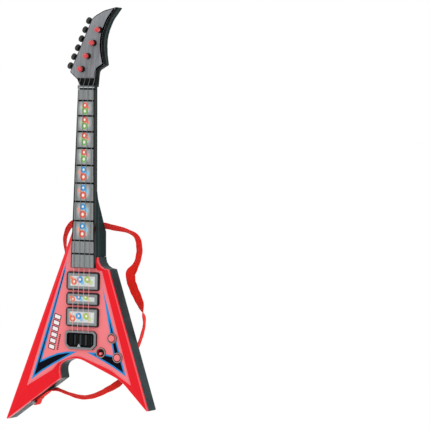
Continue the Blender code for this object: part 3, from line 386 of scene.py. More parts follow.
webbing.bump(weave_mask, 0.00018)
webbing.shader.inputs["Sheen Weight"].default_value = 0.04
webbing.shader.inputs["Sheen Roughness"].default_value = 0.5
webbing.shader.inputs["Sheen Tint"].default_value = (1.0, 0.35, 0.3, 1.0)
strap.data.materials.append(webbing.material)
activate(strap)
bpy.ops.object.shade_smooth_by_angle(angle=math.radians(50))
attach(strap, "guitar")
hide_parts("strap")
clear_selection()
print("webbing finished")

# %% [markdown]
# The webbing is sewn round the bar of a staple at each end. The loop is a short strip
# bent round the bar with its tail lying on the band. A flat path is extruded to the
# width of the band and given its thickness by a Solidify modifier.


# %% Strap loops
LOOP_PATH = ((12.0, 3.1), (7.0, 3.6), (3.2, 6.2), (0.8, 7.6), (-1.6, 7.4), (-3.1, 5.9), (-3.5, 4.4),
             (-3.0, 2.6), (-1.4, 1.3), (0.8, 1.0), (3.0, 1.2))


def strap_loop(name, centre, run, outward):
    """A band bent round a bar; run goes from the bar to the strap, outward leaves the wall."""
    run, outward = Vector(run).normalized(), Vector(outward).normalized()
    across = run.cross(outward)
    clear_selection()
    bpy.ops.mesh.primitive_plane_add(size=STRAP_WIDTH)
    obj = bpy.context.object
    obj.data.clear_geometry()
    base = Vector(centre) * MM
    points = [base + run * (u * MM) + outward * (v * MM) - across * (STRAP_WIDTH / 2)
              for u, v in LOOP_PATH]
    obj.data.from_pydata(points, [(i, i + 1) for i in range(len(points) - 1)], [])
    bpy.ops.object.mode_set(mode="EDIT")
    bpy.ops.mesh.select_all(action="SELECT")
    bpy.ops.mesh.extrude_region_move(TRANSFORM_OT_translate={"value": across * STRAP_WIDTH})
    bpy.ops.object.mode_set(mode="OBJECT")
    wall = obj.modifiers.new("wall", "SOLIDIFY")
    wall.thickness = STRAP_THICKNESS * 0.8
    wall.offset = 0.0
    round_off = obj.modifiers.new("round_off", "BEVEL")
    round_off.width = 0.0003
    round_off.segments = 2
    finish_piece(obj, name, [webbing_loose.material], smooth_angle=50)
    print(name, len(obj.data.polygons), "faces")
    return obj


webbing_loose = Finish("red_webbing_loop", (206, 18, 16), 0.7, 0.25)
loop_weave = webbing_loose.noise(900.0, 2.0)
loop_threads = webbing_loose.ramp(loop_weave, 0.35, 0.65)
webbing_loose.colour(webbing_loose.mix(loop_threads, (206, 18, 14), (250, 40, 32)))
webbing_loose.bump(loop_weave, 0.00015)
lower_loop = strap_loop("strap_loop_lower", (-94.0, 23.0, -508.4),
                        (0.805, 0.0, 0.593), (0.593, 0.0, -0.805))
upper_loop = strap_loop("strap_loop_upper", (-24.0, 38.0, -303.3), (-1.0, 0.0, 1.0), (0.0, 1.0, 0.0))

# %% [markdown]
# ## Finishes for the CAD parts
# The shells, plates and frames already have their true shape, so each only gets a better
# surface. Where one moulding carries two colours, as the painted frames do, the paint's
# edge is a plane or a line in Object coordinates.


# %% Dressing helpers
def dress(finish, *names):
    for name in names:
        for place in nodes[name].material_slots:
            place.material = finish.material
    print(finish.material.name, "->", ", ".join(names))


def axis(finish, letter):
    """The X, Y or Z of a point, in metres."""
    return finish.node("ShaderNodeSeparateXYZ", Vector=finish.coords).outputs["XYZ".index(letter)]


def spot(finish, x, z, radius_x, radius_z=None, turn=0.0, soft=0.16):
    """1 inside an ellipse on the front at (x, z) millimetres, and 0 outside it."""
    mapping = finish.tree.nodes.new("ShaderNodeMapping")
    mapping.vector_type = "TEXTURE"
    finish.tree.links.new(finish.coords, mapping.inputs["Vector"])
    mapping.inputs["Location"].default_value = (x * MM, 0.0, z * MM)
    mapping.inputs["Rotation"].default_value = (0.0, math.radians(turn), 0.0)
    mapping.inputs["Scale"].default_value = (radius_x * MM, 1000.0, (radius_z or radius_x) * MM)
    reach = finish.tree.nodes.new("ShaderNodeVectorMath")
    reach.operation = "LENGTH"
    finish.tree.links.new(mapping.outputs[0], reach.inputs[0])
    return finish.ramp(reach.outputs["Value"], 1.0 - soft, 1.0 + soft, 1.0, 0.0)


def stripes(finish, period, dark_colour, light_colour):
    """Fine upright stripes, uneven in strength, over a slow drift."""
    wave = finish.math("SINE", finish.math("MULTIPLY", axis(finish, "X"), 2 * math.pi / period))
    patch = finish.noise(180.0, 3.0, (1.0, 1.0, 0.12))
    share = finish.math("ADD", finish.math("MULTIPLY", finish.ramp(wave, -0.8, 0.8), 0.6),
                        finish.math("MULTIPLY", patch, 0.4))
    return finish.mix(share, dark_colour, light_colour)


# %% Shells and label
shell_red = moulded("shell_red", (230, 16, 32), 0.38, 0.12, grain=420.0, depth=0.00001,
                    shift=0.03, coat=0.1)
depth_in = axis(shell_red, "Y")
red_base = shell_red.shader.inputs["Base Color"].links[0].from_socket
# The pale pink lines are painted highlights: one on the rounded rim, 3.7 to 6 mm deep, and one on the lip
# at the label's edge, where light catches the shell.
rim_painted_highlight = shell_red.math("MULTIPLY", shell_red.ramp(depth_in, 0.0037, 0.0040),
                          shell_red.ramp(depth_in, 0.0048, 0.0060, 1.0, 0.0))
lip_painted_highlight = shell_red.ramp(depth_in, 0.00012, 0.00030, 1.0, 0.0)
edge = shell_red.math("MAXIMUM", shell_red.math("MULTIPLY", rim_painted_highlight, 0.55), lip_painted_highlight)
shell_red.colour(shell_red.mix(edge, red_base, (248, 128, 138)))
dress(shell_red, "body_front_shell")

label = moulded("printed_label", (240, 126, 131), 0.45, 0.2, grain=1200.0, depth=0.000008, shift=0.015)
dress(label, "front_label")

dark_wall = moulded("grained_dark_shell", (25, 45, 48), 0.45, 0.12, grain=2600.0, depth=0.00006, shift=0.08)
dress(dark_wall, "body_back_shell", "battery_cover")

neck_finish = moulded("neck_dark_shell", (24, 43, 43), 0.55, 0.04, grain=2600.0, depth=0.00005,
                      shift=0.08)
neck_base = neck_finish.shader.inputs["Base Color"].links[0].from_socket
# The black front band is a lip along the neck and widens on the headstock's housing, where the wide part is
# painted shade: the edge shadow beside the grey face.
band_edge = neck_finish.ramp(axis(neck_finish, "Z"), -0.004, 0.004, -0.0015, 0.0078)
past_band = neck_finish.math("SUBTRACT", axis(neck_finish, "Y"), band_edge)
front_lip_and_shade_band = neck_finish.ramp(past_band, 0.0, 0.0006, 1.0, 0.0)
seam = neck_finish.math("MULTIPLY", neck_finish.ramp(axis(neck_finish, "Y"), 0.0086, 0.0090),
                        neck_finish.ramp(axis(neck_finish, "Y"), 0.0098, 0.0102, 1.0, 0.0))
neck_colour = neck_finish.mix(neck_finish.math("MULTIPLY", seam, 0.35), neck_base, (120, 130, 130))
neck_finish.colour(neck_finish.mix(front_lip_and_shade_band, neck_colour, (3, 4, 4)))
dress(neck_finish, "neck_back_shell")

# %% [markdown]
# The headstock's face is moulded in grey with a lengthwise brushed texture. Noise
# stretched along the length gives both the faint streaks and their relief.

# %% Brushed headstock face
brushed = Finish("brushed_grey_face", (130, 133, 137), 0.45, 0.35)
streaks = brushed.noise(1500.0, 4.0, (1.0, 1.0, 0.05))
broad = brushed.noise(320.0, 3.0, (1.0, 1.0, 0.08))
brushed_mix = brushed.math("ADD", brushed.math("MULTIPLY", streaks, 0.5),
                           brushed.math("MULTIPLY", broad, 0.5))
brushed.colour(brushed.mix(brushed.ramp(brushed_mix, 0.3, 0.7), (112, 115, 120), (148, 151, 155)))
brushed.bump(brushed_mix, 0.00006)
dress(brushed, "headstock_face")

# %% [markdown]
# A black band of painted shade runs down the right of the grey face, from the tip to the
# waist: a dark sheet laid where the shadow gap at the face's edge falls. Its outer line
# follows the face's own edge, which is measured from the frame, and its inner line lies a
# few millimetres to the left, so the band keeps its width round the curve.

# %% Painted shade band on the headstock
SHADE_BAND_WIDTH = 2.7
face_mesh = nodes["headstock_face"].data
face_edges = [tuple(face_mesh.vertices[index].co for index in edge.vertices) for edge in face_mesh.edges]
shade_band_outer = []
for step in range(60):
    level = (-0.8 + step * 2.0) * MM
    crossings = [a.x + (b.x - a.x) * (level - a.z) / (b.z - a.z) for a, b in face_edges
                 if (a.z - level) * (b.z - level) < 0 and abs(a.y) < 0.0001 and abs(b.y) < 0.0001]
    if crossings:
        shade_band_outer.append(Vector((max(crossings) / MM, level / MM)))
shade_band_inner = []
for index, point in enumerate(shade_band_outer):
    ahead = shade_band_outer[min(index + 1, len(shade_band_outer) - 1)]
    run = (ahead - shade_band_outer[max(index - 1, 0)]).normalized()
    shade_band_inner.append(point + Vector((-run.y, run.x)) * SHADE_BAND_WIDTH)
border = flat_shape([tuple(point) for point in shade_band_outer + shade_band_inner[::-1]], -0.15, 0.15)
shadow_gap_black = moulded("shadow_gap_black", (2, 3, 3), 0.6, 0.0, grain=1800.0, depth=0.000002)
finish_piece(border, "headstock_shade_band", [shadow_gap_black.material], smooth_angle=0)
print("border through", len(shade_band_outer), "levels")
dress(gloss_black, "fretboard")
dress(black, "string_clamp", "battery_box", "strap_lug_upper", "bridge_saddles")
dress(silver, "strap_lug_lower")

# %% Painted frames round the pads, the bridge and the buttons
for number in range(1, 4):
    low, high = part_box(f"pad_frame_{number}")
    centre, half = (low + high) / 2, (high - low) / 2
    frame_paint = moulded(f"painted_pad_frame_{number}", (116, 121, 124), 0.42, 0.2,
                          grain=1500.0, depth=0.00002)
    frame_base = frame_paint.shader.inputs["Base Color"].links[0].from_socket
    reach_x = frame_paint.math("ABSOLUTE", frame_paint.math("SUBTRACT", axis(frame_paint, "X"), centre.x))
    reach_z = frame_paint.math("ABSOLUTE", frame_paint.math("SUBTRACT", axis(frame_paint, "Z"), centre.z))
    rim_x = frame_paint.math("SUBTRACT", reach_x, half.x)
    rim_z = frame_paint.math("SUBTRACT", reach_z, half.z)
    nearest = frame_paint.math("MAXIMUM", rim_x, rim_z)
    # The lighter ring round the screen, on the frame's inner edge, is a painted highlight.
    inner_highlight_share = frame_paint.ramp(nearest, -0.0040, -0.0030, 1.0, 0.0)
    painted = frame_paint.mix(frame_paint.math("MULTIPLY", inner_highlight_share, 0.7), frame_base, (164, 170, 171))
    outer = frame_paint.ramp(nearest, -0.0022, -0.0017)
    frame_paint.colour(frame_paint.mix(outer, painted, (12, 14, 16)))
    dress(frame_paint, f"pad_frame_{number}")
bridge_paint = moulded("painted_bridge_frame", (122, 128, 131), 0.42, 0.2, grain=1500.0, depth=0.00002)
bridge_base = bridge_paint.shader.inputs["Base Color"].links[0].from_socket
bridge_side = bridge_paint.ramp(axis(bridge_paint, "Y"), -0.0040, -0.0034)
bridge_paint.colour(bridge_paint.mix(bridge_side, bridge_base, (24, 27, 29)))
dress(bridge_paint, "bridge_frame")

# %% Strings, screws and what is inside
string_finish = Finish("drawn_nylon", (178, 180, 180), 0.35, 0.3)
over_neck = string_finish.ramp(axis(string_finish, "Z"), -0.295, -0.289)
string_finish.colour(string_finish.mix(over_neck, (230, 172, 172), (112, 115, 116)))
string_finish.bump(string_finish.noise(2500.0, 2.0, (1.0, 1.0, 0.1)), 0.00001)
dress(string_finish, "string_1", "string_2", "string_3", "string_4")
dress(steel, "shell_screw_1", "shell_screw_2", "neck_screw_1", "neck_screw_2", "battery_cover_screw")
dress(green_board, "main_board", "neck_light_board")
dress(sleeve, "battery_1", "battery_2", "battery_3")
dress(paper, "speaker")

# %% [markdown]
# ## Printed keys
# Each fret key carries the same little print in two colours: a ring at the top and a
# bigger one under it, each with a bright centre where its light shines through, and a
# paler blob beside each. Every patch is an ellipse of Object coordinates, so the eight
# keys share one recipe.

# %% Key prints
CELL_LINES = (-27.0, -50.6, -75.3, -101.3, -128.6, -156.9, -186.3, -217.0, -248.0)
WARM = (226, 84, 62)
WARM_PALE = (244, 150, 128)
LEAF = (112, 176, 76)
LEAF_PALE = (172, 212, 148)
SKY = (22, 146, 212)
SKY_PALE = (128, 200, 236)
GLOW = (196, 201, 202)
for number in range(1, 9):
    top, bottom = CELL_LINES[number - 1], CELL_LINES[number]
    height = top - bottom
    first_z = top - height * (0.31 if number == 1 else 0.26)
    second_z = top - height * (0.69 if number == 1 else 0.66)
    green_key = number <= 4
    x = -1.5
    key = Finish(f"printed_key_{number}", (129, 134, 134), 0.38, 0.4)
    colour = stripes(key, 0.0026, (112, 116, 117), (150, 154, 154))
    middle = (first_z + second_z) / 2
    halo = key.math("MULTIPLY", spot(key, x + 0.3, middle, 10.0, 11.5, soft=0.4), 0.7)
    colour = key.mix(halo, colour, GLOW)
    if green_key:
        marks = (
            (x - 4.2, second_z + 5.6, 3.4, 3.4, LEAF_PALE, 0.35, 0.85),
            (x + 5.6, first_z - 4.6, 2.6, 3.6, WARM_PALE, 0.25, 1.0),
            (x + 5.0, second_z + 2.0, 2.0, 3.0, (206, 226, 204), 0.4, 0.8),
            (x, second_z, 5.1, 5.3, LEAF, 0.14, 1.0),
            (x, first_z, 4.7, 4.7, WARM, 0.12, 1.0),
        )
        centres = ((x, second_z, 2.0, 2.4), (x, first_z, 1.7, 2.0))
    else:
        marks = (
            (x - 6.4, second_z + 6.8, 2.6, 4.0, WARM_PALE, 0.3, 0.9),
            (x + 6.6, first_z - 5.2, 2.6, 4.2, SKY_PALE, 0.3, 1.0),
            (x + 6.0, second_z + 0.6, 1.8, 3.2, (226, 205, 200), 0.4, 0.7),
            (x, second_z, 5.9, 5.9, WARM, 0.12, 1.0),
            (x, first_z, 4.9, 4.9, SKY, 0.12, 1.0),
        )
        centres = ((x, second_z, 2.3, 2.5), (x, first_z, 1.8, 2.0))
    for mark_x, mark_z, wide, tall, ink, soft, strength in marks:
        mask = spot(key, mark_x, mark_z, wide, tall, turn=-25.0 if wide < 3.0 else 0.0, soft=soft)
        colour = key.mix(key.math("MULTIPLY", mask, strength), colour, ink)
    for mark_x, mark_z, wide, tall in centres:
        colour = key.mix(spot(key, mark_x, mark_z, wide, tall, soft=0.3), colour, (246, 240, 226))
    key.colour(colour)
    key.roughness(key.ramp(key.noise(70.0, 3.0), 0.3, 0.7, 0.32, 0.42))
    key.bump(key.noise(1400.0, 2.0, (1.0, 1.0, 0.2)), 0.00001)
    key.shader.inputs["Coat Weight"].default_value = 0.2
    dress(key, f"fret_key_{number}")

# %% [markdown]
# ## Drum pads
# A pad is a translucent lid with three little prints: a ring with a stem in orange, a
# ring with a tail in blue and one in green. The lid is greyer near its frame, where no
# light reaches it.

# %% Pad prints
ORANGE_INK = (228, 104, 62)
BLUE_INK = (48, 150, 212)
GREEN_INK = (160, 196, 84)
PAD_PRINTS = {
    1: (((-16.1, -313.5), (-20.6, -307.6)), ((-5.5, -309.9), (-0.9, -315.2)),
        ((7.3, -309.3), (13.6, -314.6)), 1.0),
    2: (((-17.5, -341.3), (-22.0, -337.6)), ((-7.5, -338.0), (-2.1, -342.2)),
        ((4.9, -337.5), (11.6, -342.2)), 0.8),
    3: (((-17.3, -372.3), (-21.8, -366.4)), ((-6.8, -367.8), (-0.8, -373.1)),
        ((6.9, -367.6), (13.0, -373.0)), 1.0),
}
for number, (orange, blue, green, size) in PAD_PRINTS.items():
    low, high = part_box(f"pad_{number}")
    middle_x, middle_z = (low.x + high.x) / 2 / MM, (low.z + high.z) / 2 / MM
    half_x, half_z = (high.x - low.x) / 2 / MM, (high.z - low.z) / 2 / MM
    screen = Finish(f"printed_pad_{number}", (214, 220, 218), 0.3, 0.45)
    colour = screen.mix(screen.ramp(screen.noise(260.0, 3.0), 0.3, 0.7), (200, 207, 205), (226, 231, 229))
    off_x = screen.math("ABSOLUTE", screen.math("SUBTRACT", axis(screen, "X"), middle_x * MM))
    off_z = screen.math("ABSOLUTE", screen.math("SUBTRACT", axis(screen, "Z"), middle_z * MM))
    border = screen.math("MAXIMUM", screen.ramp(off_x, (half_x - 2.6) * MM, (half_x - 1.2) * MM),
                         screen.ramp(off_z, (half_z - 2.0) * MM, (half_z - 0.9) * MM))
    colour = screen.mix(screen.math("MULTIPLY", border, 0.9), colour, (138, 145, 147))
    for (ring, tail), ink, pale, stem in ((green, GREEN_INK, (190, 216, 140), 38.0),
                                          (blue, BLUE_INK, (124, 196, 236), 38.0),
                                          (orange, ORANGE_INK, (236, 142, 108), -35.0)):
        colour = screen.mix(spot(screen, *tail, 2.5 * size, 3.3 * size, turn=stem, soft=0.25), colour, pale)
        link = ((ring[0] + tail[0]) / 2, (ring[1] + tail[1]) / 2)
        stroke = spot(screen, *link, 1.7 * size, 3.6 * size, turn=stem * 1.15, soft=0.25)
        colour = screen.mix(stroke, colour, ink)
        colour = screen.mix(spot(screen, *ring, 5.3 * size, soft=0.12), colour, ink)
        colour = screen.mix(spot(screen, *ring, 1.9 * size, soft=0.3), colour, (250, 246, 236))
    screen.colour(colour)
    screen.roughness(screen.ramp(screen.noise(60.0, 2.0), 0.3, 0.7, 0.25, 0.36))
    screen.shader.inputs["Coat Weight"].default_value = 0.3
    dress(screen, f"pad_{number}")

# %% [markdown]
# ## Printed flashes and the slanted bars
# The label carries two long lightning flashes, black inside a blue line, and a row of
# slanted white bars. Each is a film a tenth of a millimetre thick: an outline is filled,
# inset by the width of its border, and extruded. The inset gives long sharp corners a
# border of even width, as a sign cutter's knife would.


# %% A two-colour printed film
def film(name, outline, border, inks, front=-0.12, holes=()):
    """A thin film with a border of inks[0] round a field of inks[1]."""
    clear_selection()
    bpy.ops.mesh.primitive_circle_add(vertices=len(outline), radius=1.0, fill_type="NGON")
    obj = bpy.context.object
    for vertex, (x, z) in zip(obj.data.vertices, outline):
        vertex.co = (x * MM, front * MM, z * MM)
    obj.data.materials.append(inks[0].material)
    obj.data.materials.append(inks[1].material)
    bpy.ops.object.mode_set(mode="EDIT")
    bpy.ops.mesh.select_all(action="SELECT")
    bpy.ops.mesh.inset(thickness=border * MM, use_even_offset=True)
    obj.active_material_index = 1
    bpy.ops.object.material_slot_assign()
    bpy.ops.mesh.select_all(action="SELECT")
    bpy.ops.mesh.extrude_region_move(TRANSFORM_OT_translate={"value": (0, -front * MM, 0)})
    bpy.ops.mesh.select_all(action="SELECT")
    bpy.ops.mesh.normals_make_consistent(inside=False)
    bpy.ops.object.mode_set(mode="OBJECT")
    for x, z, radius in holes:
        clear_selection()
        bpy.ops.mesh.primitive_cylinder_add(vertices=48, radius=radius * MM, depth=0.01,
                                            location=(x * MM, 0, z * MM),
                                            rotation=(math.pi / 2, 0, 0))
        punch = bpy.context.object
        activate(obj)
        hole = obj.modifiers.new("hole", "BOOLEAN")
        hole.operation = "DIFFERENCE"
        hole.solver = "EXACT"
        hole.object = punch
        bpy.ops.object.modifier_apply(modifier=hole.name)
        bpy.data.objects.remove(punch, do_unlink=True)
    settle(obj)
    obj.name = name
    obj.data.name = name
    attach(obj, "guitar")
    clear_selection()
    print(name, len(obj.data.polygons), "faces")
    return obj


blue_ink = moulded("blue_ink", (14, 134, 204), 0.4, 0.35, grain=1200.0, depth=0.000005, shift=0.03)
black_ink = moulded("black_ink", (4, 4, 20), 0.5, 0.06, grain=1200.0, depth=0.000005)
white_ink = moulded("white_ink", (240, 232, 232), 0.4, 0.3, grain=1200.0, depth=0.000005, shift=0.02)
dark_ink = moulded("dark_ink", (74, 32, 42), 0.5, 0.1, grain=1200.0, depth=0.000005)
RING_HOLES = ((51.6, -400.7, 8.5), (62.0, -430.7, 8.5), (32.6, -424.3, 8.5))
film("flash_left", ((-32.0, -283.0), (-90.2, -473.4), (-70.5, -458.6), (-50.0, -446.3), (-30.0, -435.2),
                    (-9.8, -424.6), (-28.0, -425.4), (-44.0, -428.6), (-59.0, -434.4),
                    (-72.0, -440.6), (-33.2, -297.0)),
     2.6, (blue_ink, black_ink))
film("flash_right", ((32.8, -320.3), (54.6, -427.8), (40.0, -425.8), (24.0, -424.4), (7.9, -425.0),
                     (30.0, -434.6), (54.0, -446.0), (77.2, -459.7)),
     2.6, (blue_ink, black_ink), holes=RING_HOLES)

# %% The row of slanted bars
BAR_COUNT = 6
BARS_TOP = (Vector((-50.5, -363.7)), Vector((-38.7, -369.5)))
BARS_FOOT = (Vector((-61.7, -421.6)), Vector((-50.8, -426.7)))
for index in range(BAR_COUNT):
    start = (index + 0.02) / BAR_COUNT
    end = (index + 0.88) / BAR_COUNT
    near_left = BARS_TOP[0].lerp(BARS_FOOT[0], start)
    far_left = BARS_TOP[0].lerp(BARS_FOOT[0], end)
    near_right = BARS_TOP[1].lerp(BARS_FOOT[1], start)
    far_right = BARS_TOP[1].lerp(BARS_FOOT[1], end)
    slant = (far_left - near_left) * 0.12
    outline = [tuple(point) for point in (near_left + slant, far_left + slant, far_right - slant,
                                          near_right - slant)]
    film(f"slanted_bar_{index + 1}", outline, 1.35, (dark_ink, white_ink))
for index in range(9):
    share = index / 9
    top_left = Vector((-41.6, -398.3)).lerp(Vector((-46.4, -424.0)), share)
    top_right = Vector((-38.9, -398.9)).lerp(Vector((-43.7, -424.7)), share)
    drop = Vector((-0.35, -1.9))
    film(f"fine_dash_{index + 1}", [tuple(point) for point in (top_left, top_left + drop,
                                                               top_right + drop, top_right)],
         0.3, (dark_ink, dark_ink))

# %% [markdown]
# ## Blank cells of the fretboard
# Three cells of the fretboard have no key. They are thin grey plates in the black board,
# printed with the same fine stripes as the keys. Each is a filled outline, extruded, with
# its edge rounded by a bevel.

# %% Blank cells
FRETBOARD_TOP, FRETBOARD_END = -9.3, -291.3
NUT_HALF_WIDTH, END_HALF_WIDTH = 14.6, 20.9
FRETBOARD_FRONT = -6.5


def neck_half(z):
    share = (FRETBOARD_TOP - z) / (FRETBOARD_TOP - FRETBOARD_END)
    return NUT_HALF_WIDTH + (END_HALF_WIDTH - NUT_HALF_WIDTH) * share


blank_print = Finish("striped_grey_print", (129, 134, 134), 0.38, 0.4)
blank_print.colour(stripes(blank_print, 0.0026, (108, 112, 113), (152, 156, 156)))
blank_print.bump(blank_print.noise(1400.0, 2.0, (1.0, 1.0, 0.2)), 0.00001)
blank_print.shader.inputs["Coat Weight"].default_value = 0.2
for number, (top, bottom) in enumerate(((-9.3, -26.0), (-249.0, -268.0), (-270.0, -291.0)), start=1):
    margin = 1.4
    plate = flat_shape([(-neck_half(bottom) + margin, bottom + 0.4),
                        (neck_half(bottom) - margin, bottom + 0.4),
                        (neck_half(top) - margin, top - 0.4), (-neck_half(top) + margin, top - 0.4)],
                       FRETBOARD_FRONT - 0.45, 0.44)
    edges = plate.modifiers.new("edges", "BEVEL")
    edges.width = 0.00018
    edges.segments = 2
    finish_piece(plate, f"blank_cell_{number}", [blank_print.material])
print("blank cells ready")

# %% [markdown]
# ## String posts
# A post is a black stem with a glossy red cap that is domed like a drop. It is turned on
# a lathe: a circle is extruded up the profile and scaled at each step. All four posts are
# copies of one, each with its own mesh.

# %% String posts
# The black foot at the base, 4.9 mm in radius and wider than the stem, is painted shade: a dark washer
# standing for the contact shadow round the post.
POST_PROFILE = ((4.6, 0.3), (4.9, 0.7), (4.9, 1.5), (4.1, 2.0), (3.95, 5.6), (3.6, 6.0),
                (3.2, 6.1), (3.2, 6.9), (3.7, 7.1),
                (4.1, 7.6), (4.15, 10.6), (4.0, 12.0), (3.5, 13.1), (2.7, 13.7), (1.6, 14.0), (0.4, 14.05))
post = lathe(POST_PROFILE, 36)
post.data.materials.append(gloss_black.material)
post.data.materials.append(post_red.material)
brass = Finish("brass_collar", (176, 150, 96), 0.3, 0.5, 0.6)
brass.bump(brass.noise(1200.0), 0.00001)
post.data.materials.append(brass.material)
for face in post.data.polygons:
    height = face.center.z / MM
    face.material_index = 0 if height < 6.05 else 2 if height < 7.0 else 1
post_mesh = post.data.copy()
bpy.data.objects.remove(post, do_unlink=True)
for number in range(1, 5):
    copy = bpy.data.objects.new(f"post_{number}", post_mesh.copy())
    bpy.context.scene.collection.objects.link(copy)
    place_like(copy, (0, -1, 0), ((-10.6 + 9.75 * (number - 1)) * MM, 0, (22.8 + 20.7 * (number - 1)) * MM))
    activate(copy)
    bpy.ops.object.transform_apply(location=True, rotation=True, scale=True)
    bpy.ops.object.shade_smooth_by_angle(angle=math.radians(35))
    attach(copy, "guitar")
    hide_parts(f"string_post_{number}")
    clear_selection()
print("posts:", len(post_mesh.polygons), "faces each")

# %% [markdown]
# ## Tuner knobs
# The knobs are black buttons with ribs for small fingers. Every other column of the
# turned side is drawn inwards, which leaves the ribs standing.

# %% Tuner knobs
KNOB_PROFILE = ((2.0, -4.0), (2.0, 4.0), (3.2, 4.1), (4.8, 4.6), (5.4, 5.3), (5.5, 6.2), (5.5, 8.6),
                (5.1, 9.8), (4.3, 10.4), (3.5, 10.6), (3.2, 10.2), (0.5, 10.1))
KNOB_RIBS = 10
knob_black = moulded("knob_black_plastic", (8, 9, 10), 0.24, 0.5, grain=900.0, depth=0.00001)
knob = lathe(KNOB_PROFILE, KNOB_RIBS * 4)
for vertex in knob.data.vertices:
    height = vertex.co.z / MM
    radius = math.hypot(vertex.co.x, vertex.co.y) / MM
    if 5.0 < height < 10.0 and radius > 4.9:
        column = round(math.atan2(vertex.co.y, vertex.co.x) / (2 * math.pi) * KNOB_RIBS * 4) % 4
        if column in (0, 1):
            vertex.co.x *= 0.9
            vertex.co.y *= 0.9
knob_mesh = knob.data.copy()
bpy.data.objects.remove(knob, do_unlink=True)
edge_low, edge_high = Vector((-33.0, 18.0)), Vector((4.5, 103.5))
edge_run = (edge_high - edge_low).normalized()
for number in range(1, 7):
    spot_on_edge = edge_low + edge_run * (8.2 + 15.6 * (number - 1))
    copy = bpy.data.objects.new(f"ribbed_knob_{number}", knob_mesh.copy())
    bpy.context.scene.collection.objects.link(copy)
    place_like(copy, (-edge_run.y, 0, edge_run.x), (spot_on_edge.x * MM, 8.5 * MM, spot_on_edge.y * MM))
    finish_piece(copy, copy.name, [knob_black.material], f"tuner_knob_{number}", 30)
    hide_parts(f"tuner_knob_{number}")
print("knobs:", len(knob_mesh.polygons), "faces each")

# %% [markdown]
# ## Nut
# The nut is one moulding in three bands: a narrow grey bar, a black groove and a wider
# bright bar. Each band is a block whose edges a bevel rounds.


# %% Nut
def block(name, low, high, round_edge, finish, segments=3):
    clear_selection()
    low, high = Vector(low) * MM, Vector(high) * MM
    bpy.ops.mesh.primitive_cube_add(size=1.0, location=(low + high) / 2)
    obj = bpy.context.object
    bpy.ops.object.mode_set(mode="EDIT")
    bpy.ops.transform.resize(value=high - low, center_override=(low + high) / 2)
    bpy.ops.object.mode_set(mode="OBJECT")
    edges = obj.modifiers.new("edges", "BEVEL")
    edges.width = round_edge * MM
    edges.segments = segments
    return finish_piece(obj, name, [finish.material])


nut_grey = moulded("nut_grey", (100, 106, 108), 0.4, 0.25, grain=900.0, depth=0.00001)
nut_bright = moulded("nut_bright", (176, 180, 182), 0.4, 0.25, grain=900.0, depth=0.00001)
nut_core = block("nut_core", (-14.9, -7.6, -8.2), (14.9, -0.3, -3.0), 0.3, black)
block("nut_bar_upper", (-14.8, -7.7, -3.8), (14.8, -6.4, -3.1), 0.2, nut_grey)
block("nut_bar_lower", (-14.6, -8.0, -6.9), (14.6, -6.0, -4.8), 0.5, nut_bright)
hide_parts("nut")
print("nut ready")

# %% [markdown]
# ## Bridge
# Inside the octagonal frame, black ribs stand side by side like roller saddles, and a
# small pale triangle marks the middle. A rib is a tube laid along the strings with
# rounded ends.

# %% Bridge ribs and marker
RIB_PROFILE = ((0.8, -9.2), (2.2, -8.9), (3.0, -8.0), (3.3, -6.8), (3.3, 6.8), (3.0, 8.0),
               (2.2, 8.9), (0.8, 9.2))
rib_dark = moulded("rib_dark_plastic", (16, 26, 29), 0.26, 0.5, grain=900.0, depth=0.00001)
for number, rib_x in enumerate((-20.6, -11.6, -2.6, 6.4, 15.4), start=1):
    rib = lathe(RIB_PROFILE, 24)
    place_like(rib, (0, 0, 1), (rib_x * MM, -0.7 * MM, -405.6 * MM))
    finish_piece(rib, f"bridge_rib_{number}", [rib_dark.material])
marker = flat_shape([(-8.0, -416.6), (-2.2, -416.6), (-5.1, -411.4)], -4.4, 3.6)
edges = marker.modifiers.new("edges", "BEVEL")
edges.width = 0.0003
edges.segments = 2
finish_piece(marker, "bridge_marker", [nut_bright.material])
for number, (side, corner_x) in enumerate(((1, -26.2), (-1, 21.0)), start=1):
    notch = flat_shape([(corner_x, -414.6), (corner_x + side * 5.8, -416.9),
                        (corner_x + side * 0.2, -416.9)]
                       if side > 0 else
                       [(corner_x, -414.6), (corner_x - 0.2, -416.9), (corner_x - 5.8, -416.9)], -3.4, 2.2)
    finish_piece(notch, f"bridge_corner_{number}", [red.material])
print("bridge ready")

# %% [markdown]
# ## Buttons and switch
# Each button sits in a silver-grey collar. The collar is turned from a closed profile so
# that its lip has a soft double edge, and the cap is a low dome of clear pink plastic.


# %% Rings, caps and switch
def collar(name, x, z, node, steps=48):
    profile = ((6.7, -0.7), (6.7, 1.9), (6.9, 2.4), (7.3, 2.6), (7.8, 2.5), (8.1, 2.0), (8.2, 1.4),
               (8.2, -0.7))
    clear_selection()
    bpy.ops.mesh.primitive_circle_add(vertices=steps, radius=profile[0][0] * MM, fill_type="NOTHING")
    obj = bpy.context.object
    bpy.ops.object.mode_set(mode="EDIT")
    bpy.ops.transform.translate(value=(0, 0, profile[0][1] * MM))
    for (r0, h0), (r1, h1) in zip(profile, profile[1:] + profile[:1]):
        bpy.ops.mesh.extrude_region_move(TRANSFORM_OT_translate={"value": (0, 0, (h1 - h0) * MM)})
        bpy.ops.transform.resize(value=(r1 / r0, r1 / r0, 1.0), center_override=(0, 0, 0))
    bpy.ops.mesh.select_all(action="SELECT")
    bpy.ops.mesh.remove_doubles(threshold=0.00001)
    bpy.ops.mesh.normals_make_consistent(inside=False)
    bpy.ops.object.mode_set(mode="OBJECT")
    place_like(obj, (0, -1, 0), (x * MM, 0, z * MM))
    finish_piece(obj, name, [ring_paint.material])
    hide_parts(node)
    return obj


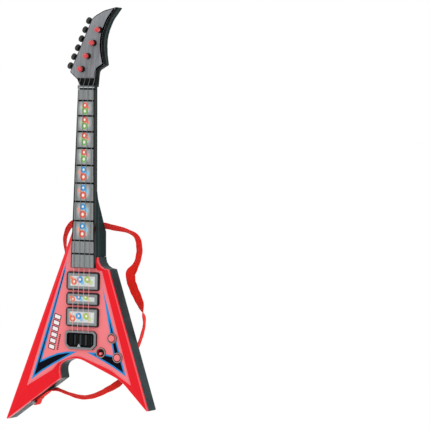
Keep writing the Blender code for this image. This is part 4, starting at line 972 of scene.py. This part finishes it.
ring_paint = moulded("painted_ring", (92, 92, 94), 0.36, 0.5, grain=1500.0, depth=0.00001)
ring_base = ring_paint.shader.inputs["Base Color"].links[0].from_socket
ring_top = ring_paint.ramp(axis(ring_paint, "Y"), -0.0024, -0.0020, 1.0, 0.0)
ring_paint.colour(ring_paint.mix(ring_top, ring_base, (150, 146, 146)))
for number, (x, z, radius) in enumerate(RING_HOLES, start=1):
    collar(f"collar_{number}", x, z, f"button_ring_{number}")
CAP_PROFILE = ((5.3, -11.0), (5.3, 2.9), (5.15, 3.5), (4.7, 3.95), (4.0, 4.2), (2.6, 4.36), (0.6, 4.4))
for number, (x, z, radius) in enumerate(RING_HOLES[:2], start=1):
    cap = lathe(CAP_PROFILE, 40)
    place_like(cap, (0, -1, 0), (x * MM, 0, z * MM))
    finish_piece(cap, f"button_cap_{number}", [pink.material], f"button_{number}")
    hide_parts(f"button_{number}")
SWITCH_PROFILE = ((2.4, -8.0), (2.4, 1.6), (2.2, 2.2), (1.6, 2.5), (0.5, 2.6))
switch = lathe(SWITCH_PROFILE, 28)
place_like(switch, (0, -1, 0), (32.6 * MM, 0, (-424.3 - 1.5) * MM))
finish_piece(switch, "switch_tip", [pink.material], "power_switch")
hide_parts("power_switch")
well = lathe(((7.9, -4.0), (7.9, -3.2), (0.5, -3.2)), 40)
place_like(well, (0, -1, 0), (32.6 * MM, 0, -424.3 * MM))
finish_piece(well, "switch_well", [gloss_black.material])
print("controls ready")

# %% [markdown]
# ## Floor
# A plain white sheet lies under the hanging guitar. It glows faintly so that it stays as
# pale as the room round it.

# %% Floor
clear_selection()
bpy.ops.mesh.primitive_plane_add(size=30.0, location=(0, 0, -1.6))
floor = bpy.context.object
floor.name = "white_floor"
floor_finish = Finish("white_floor", (188, 188, 188), 0.8, 0.0)
floor_finish.shader.inputs["Emission Color"].default_value = (1.0, 1.0, 1.0, 1.0)
floor_finish.shader.inputs["Emission Strength"].default_value = 0.5
floor.data.materials.append(floor_finish.material)
clear_selection()
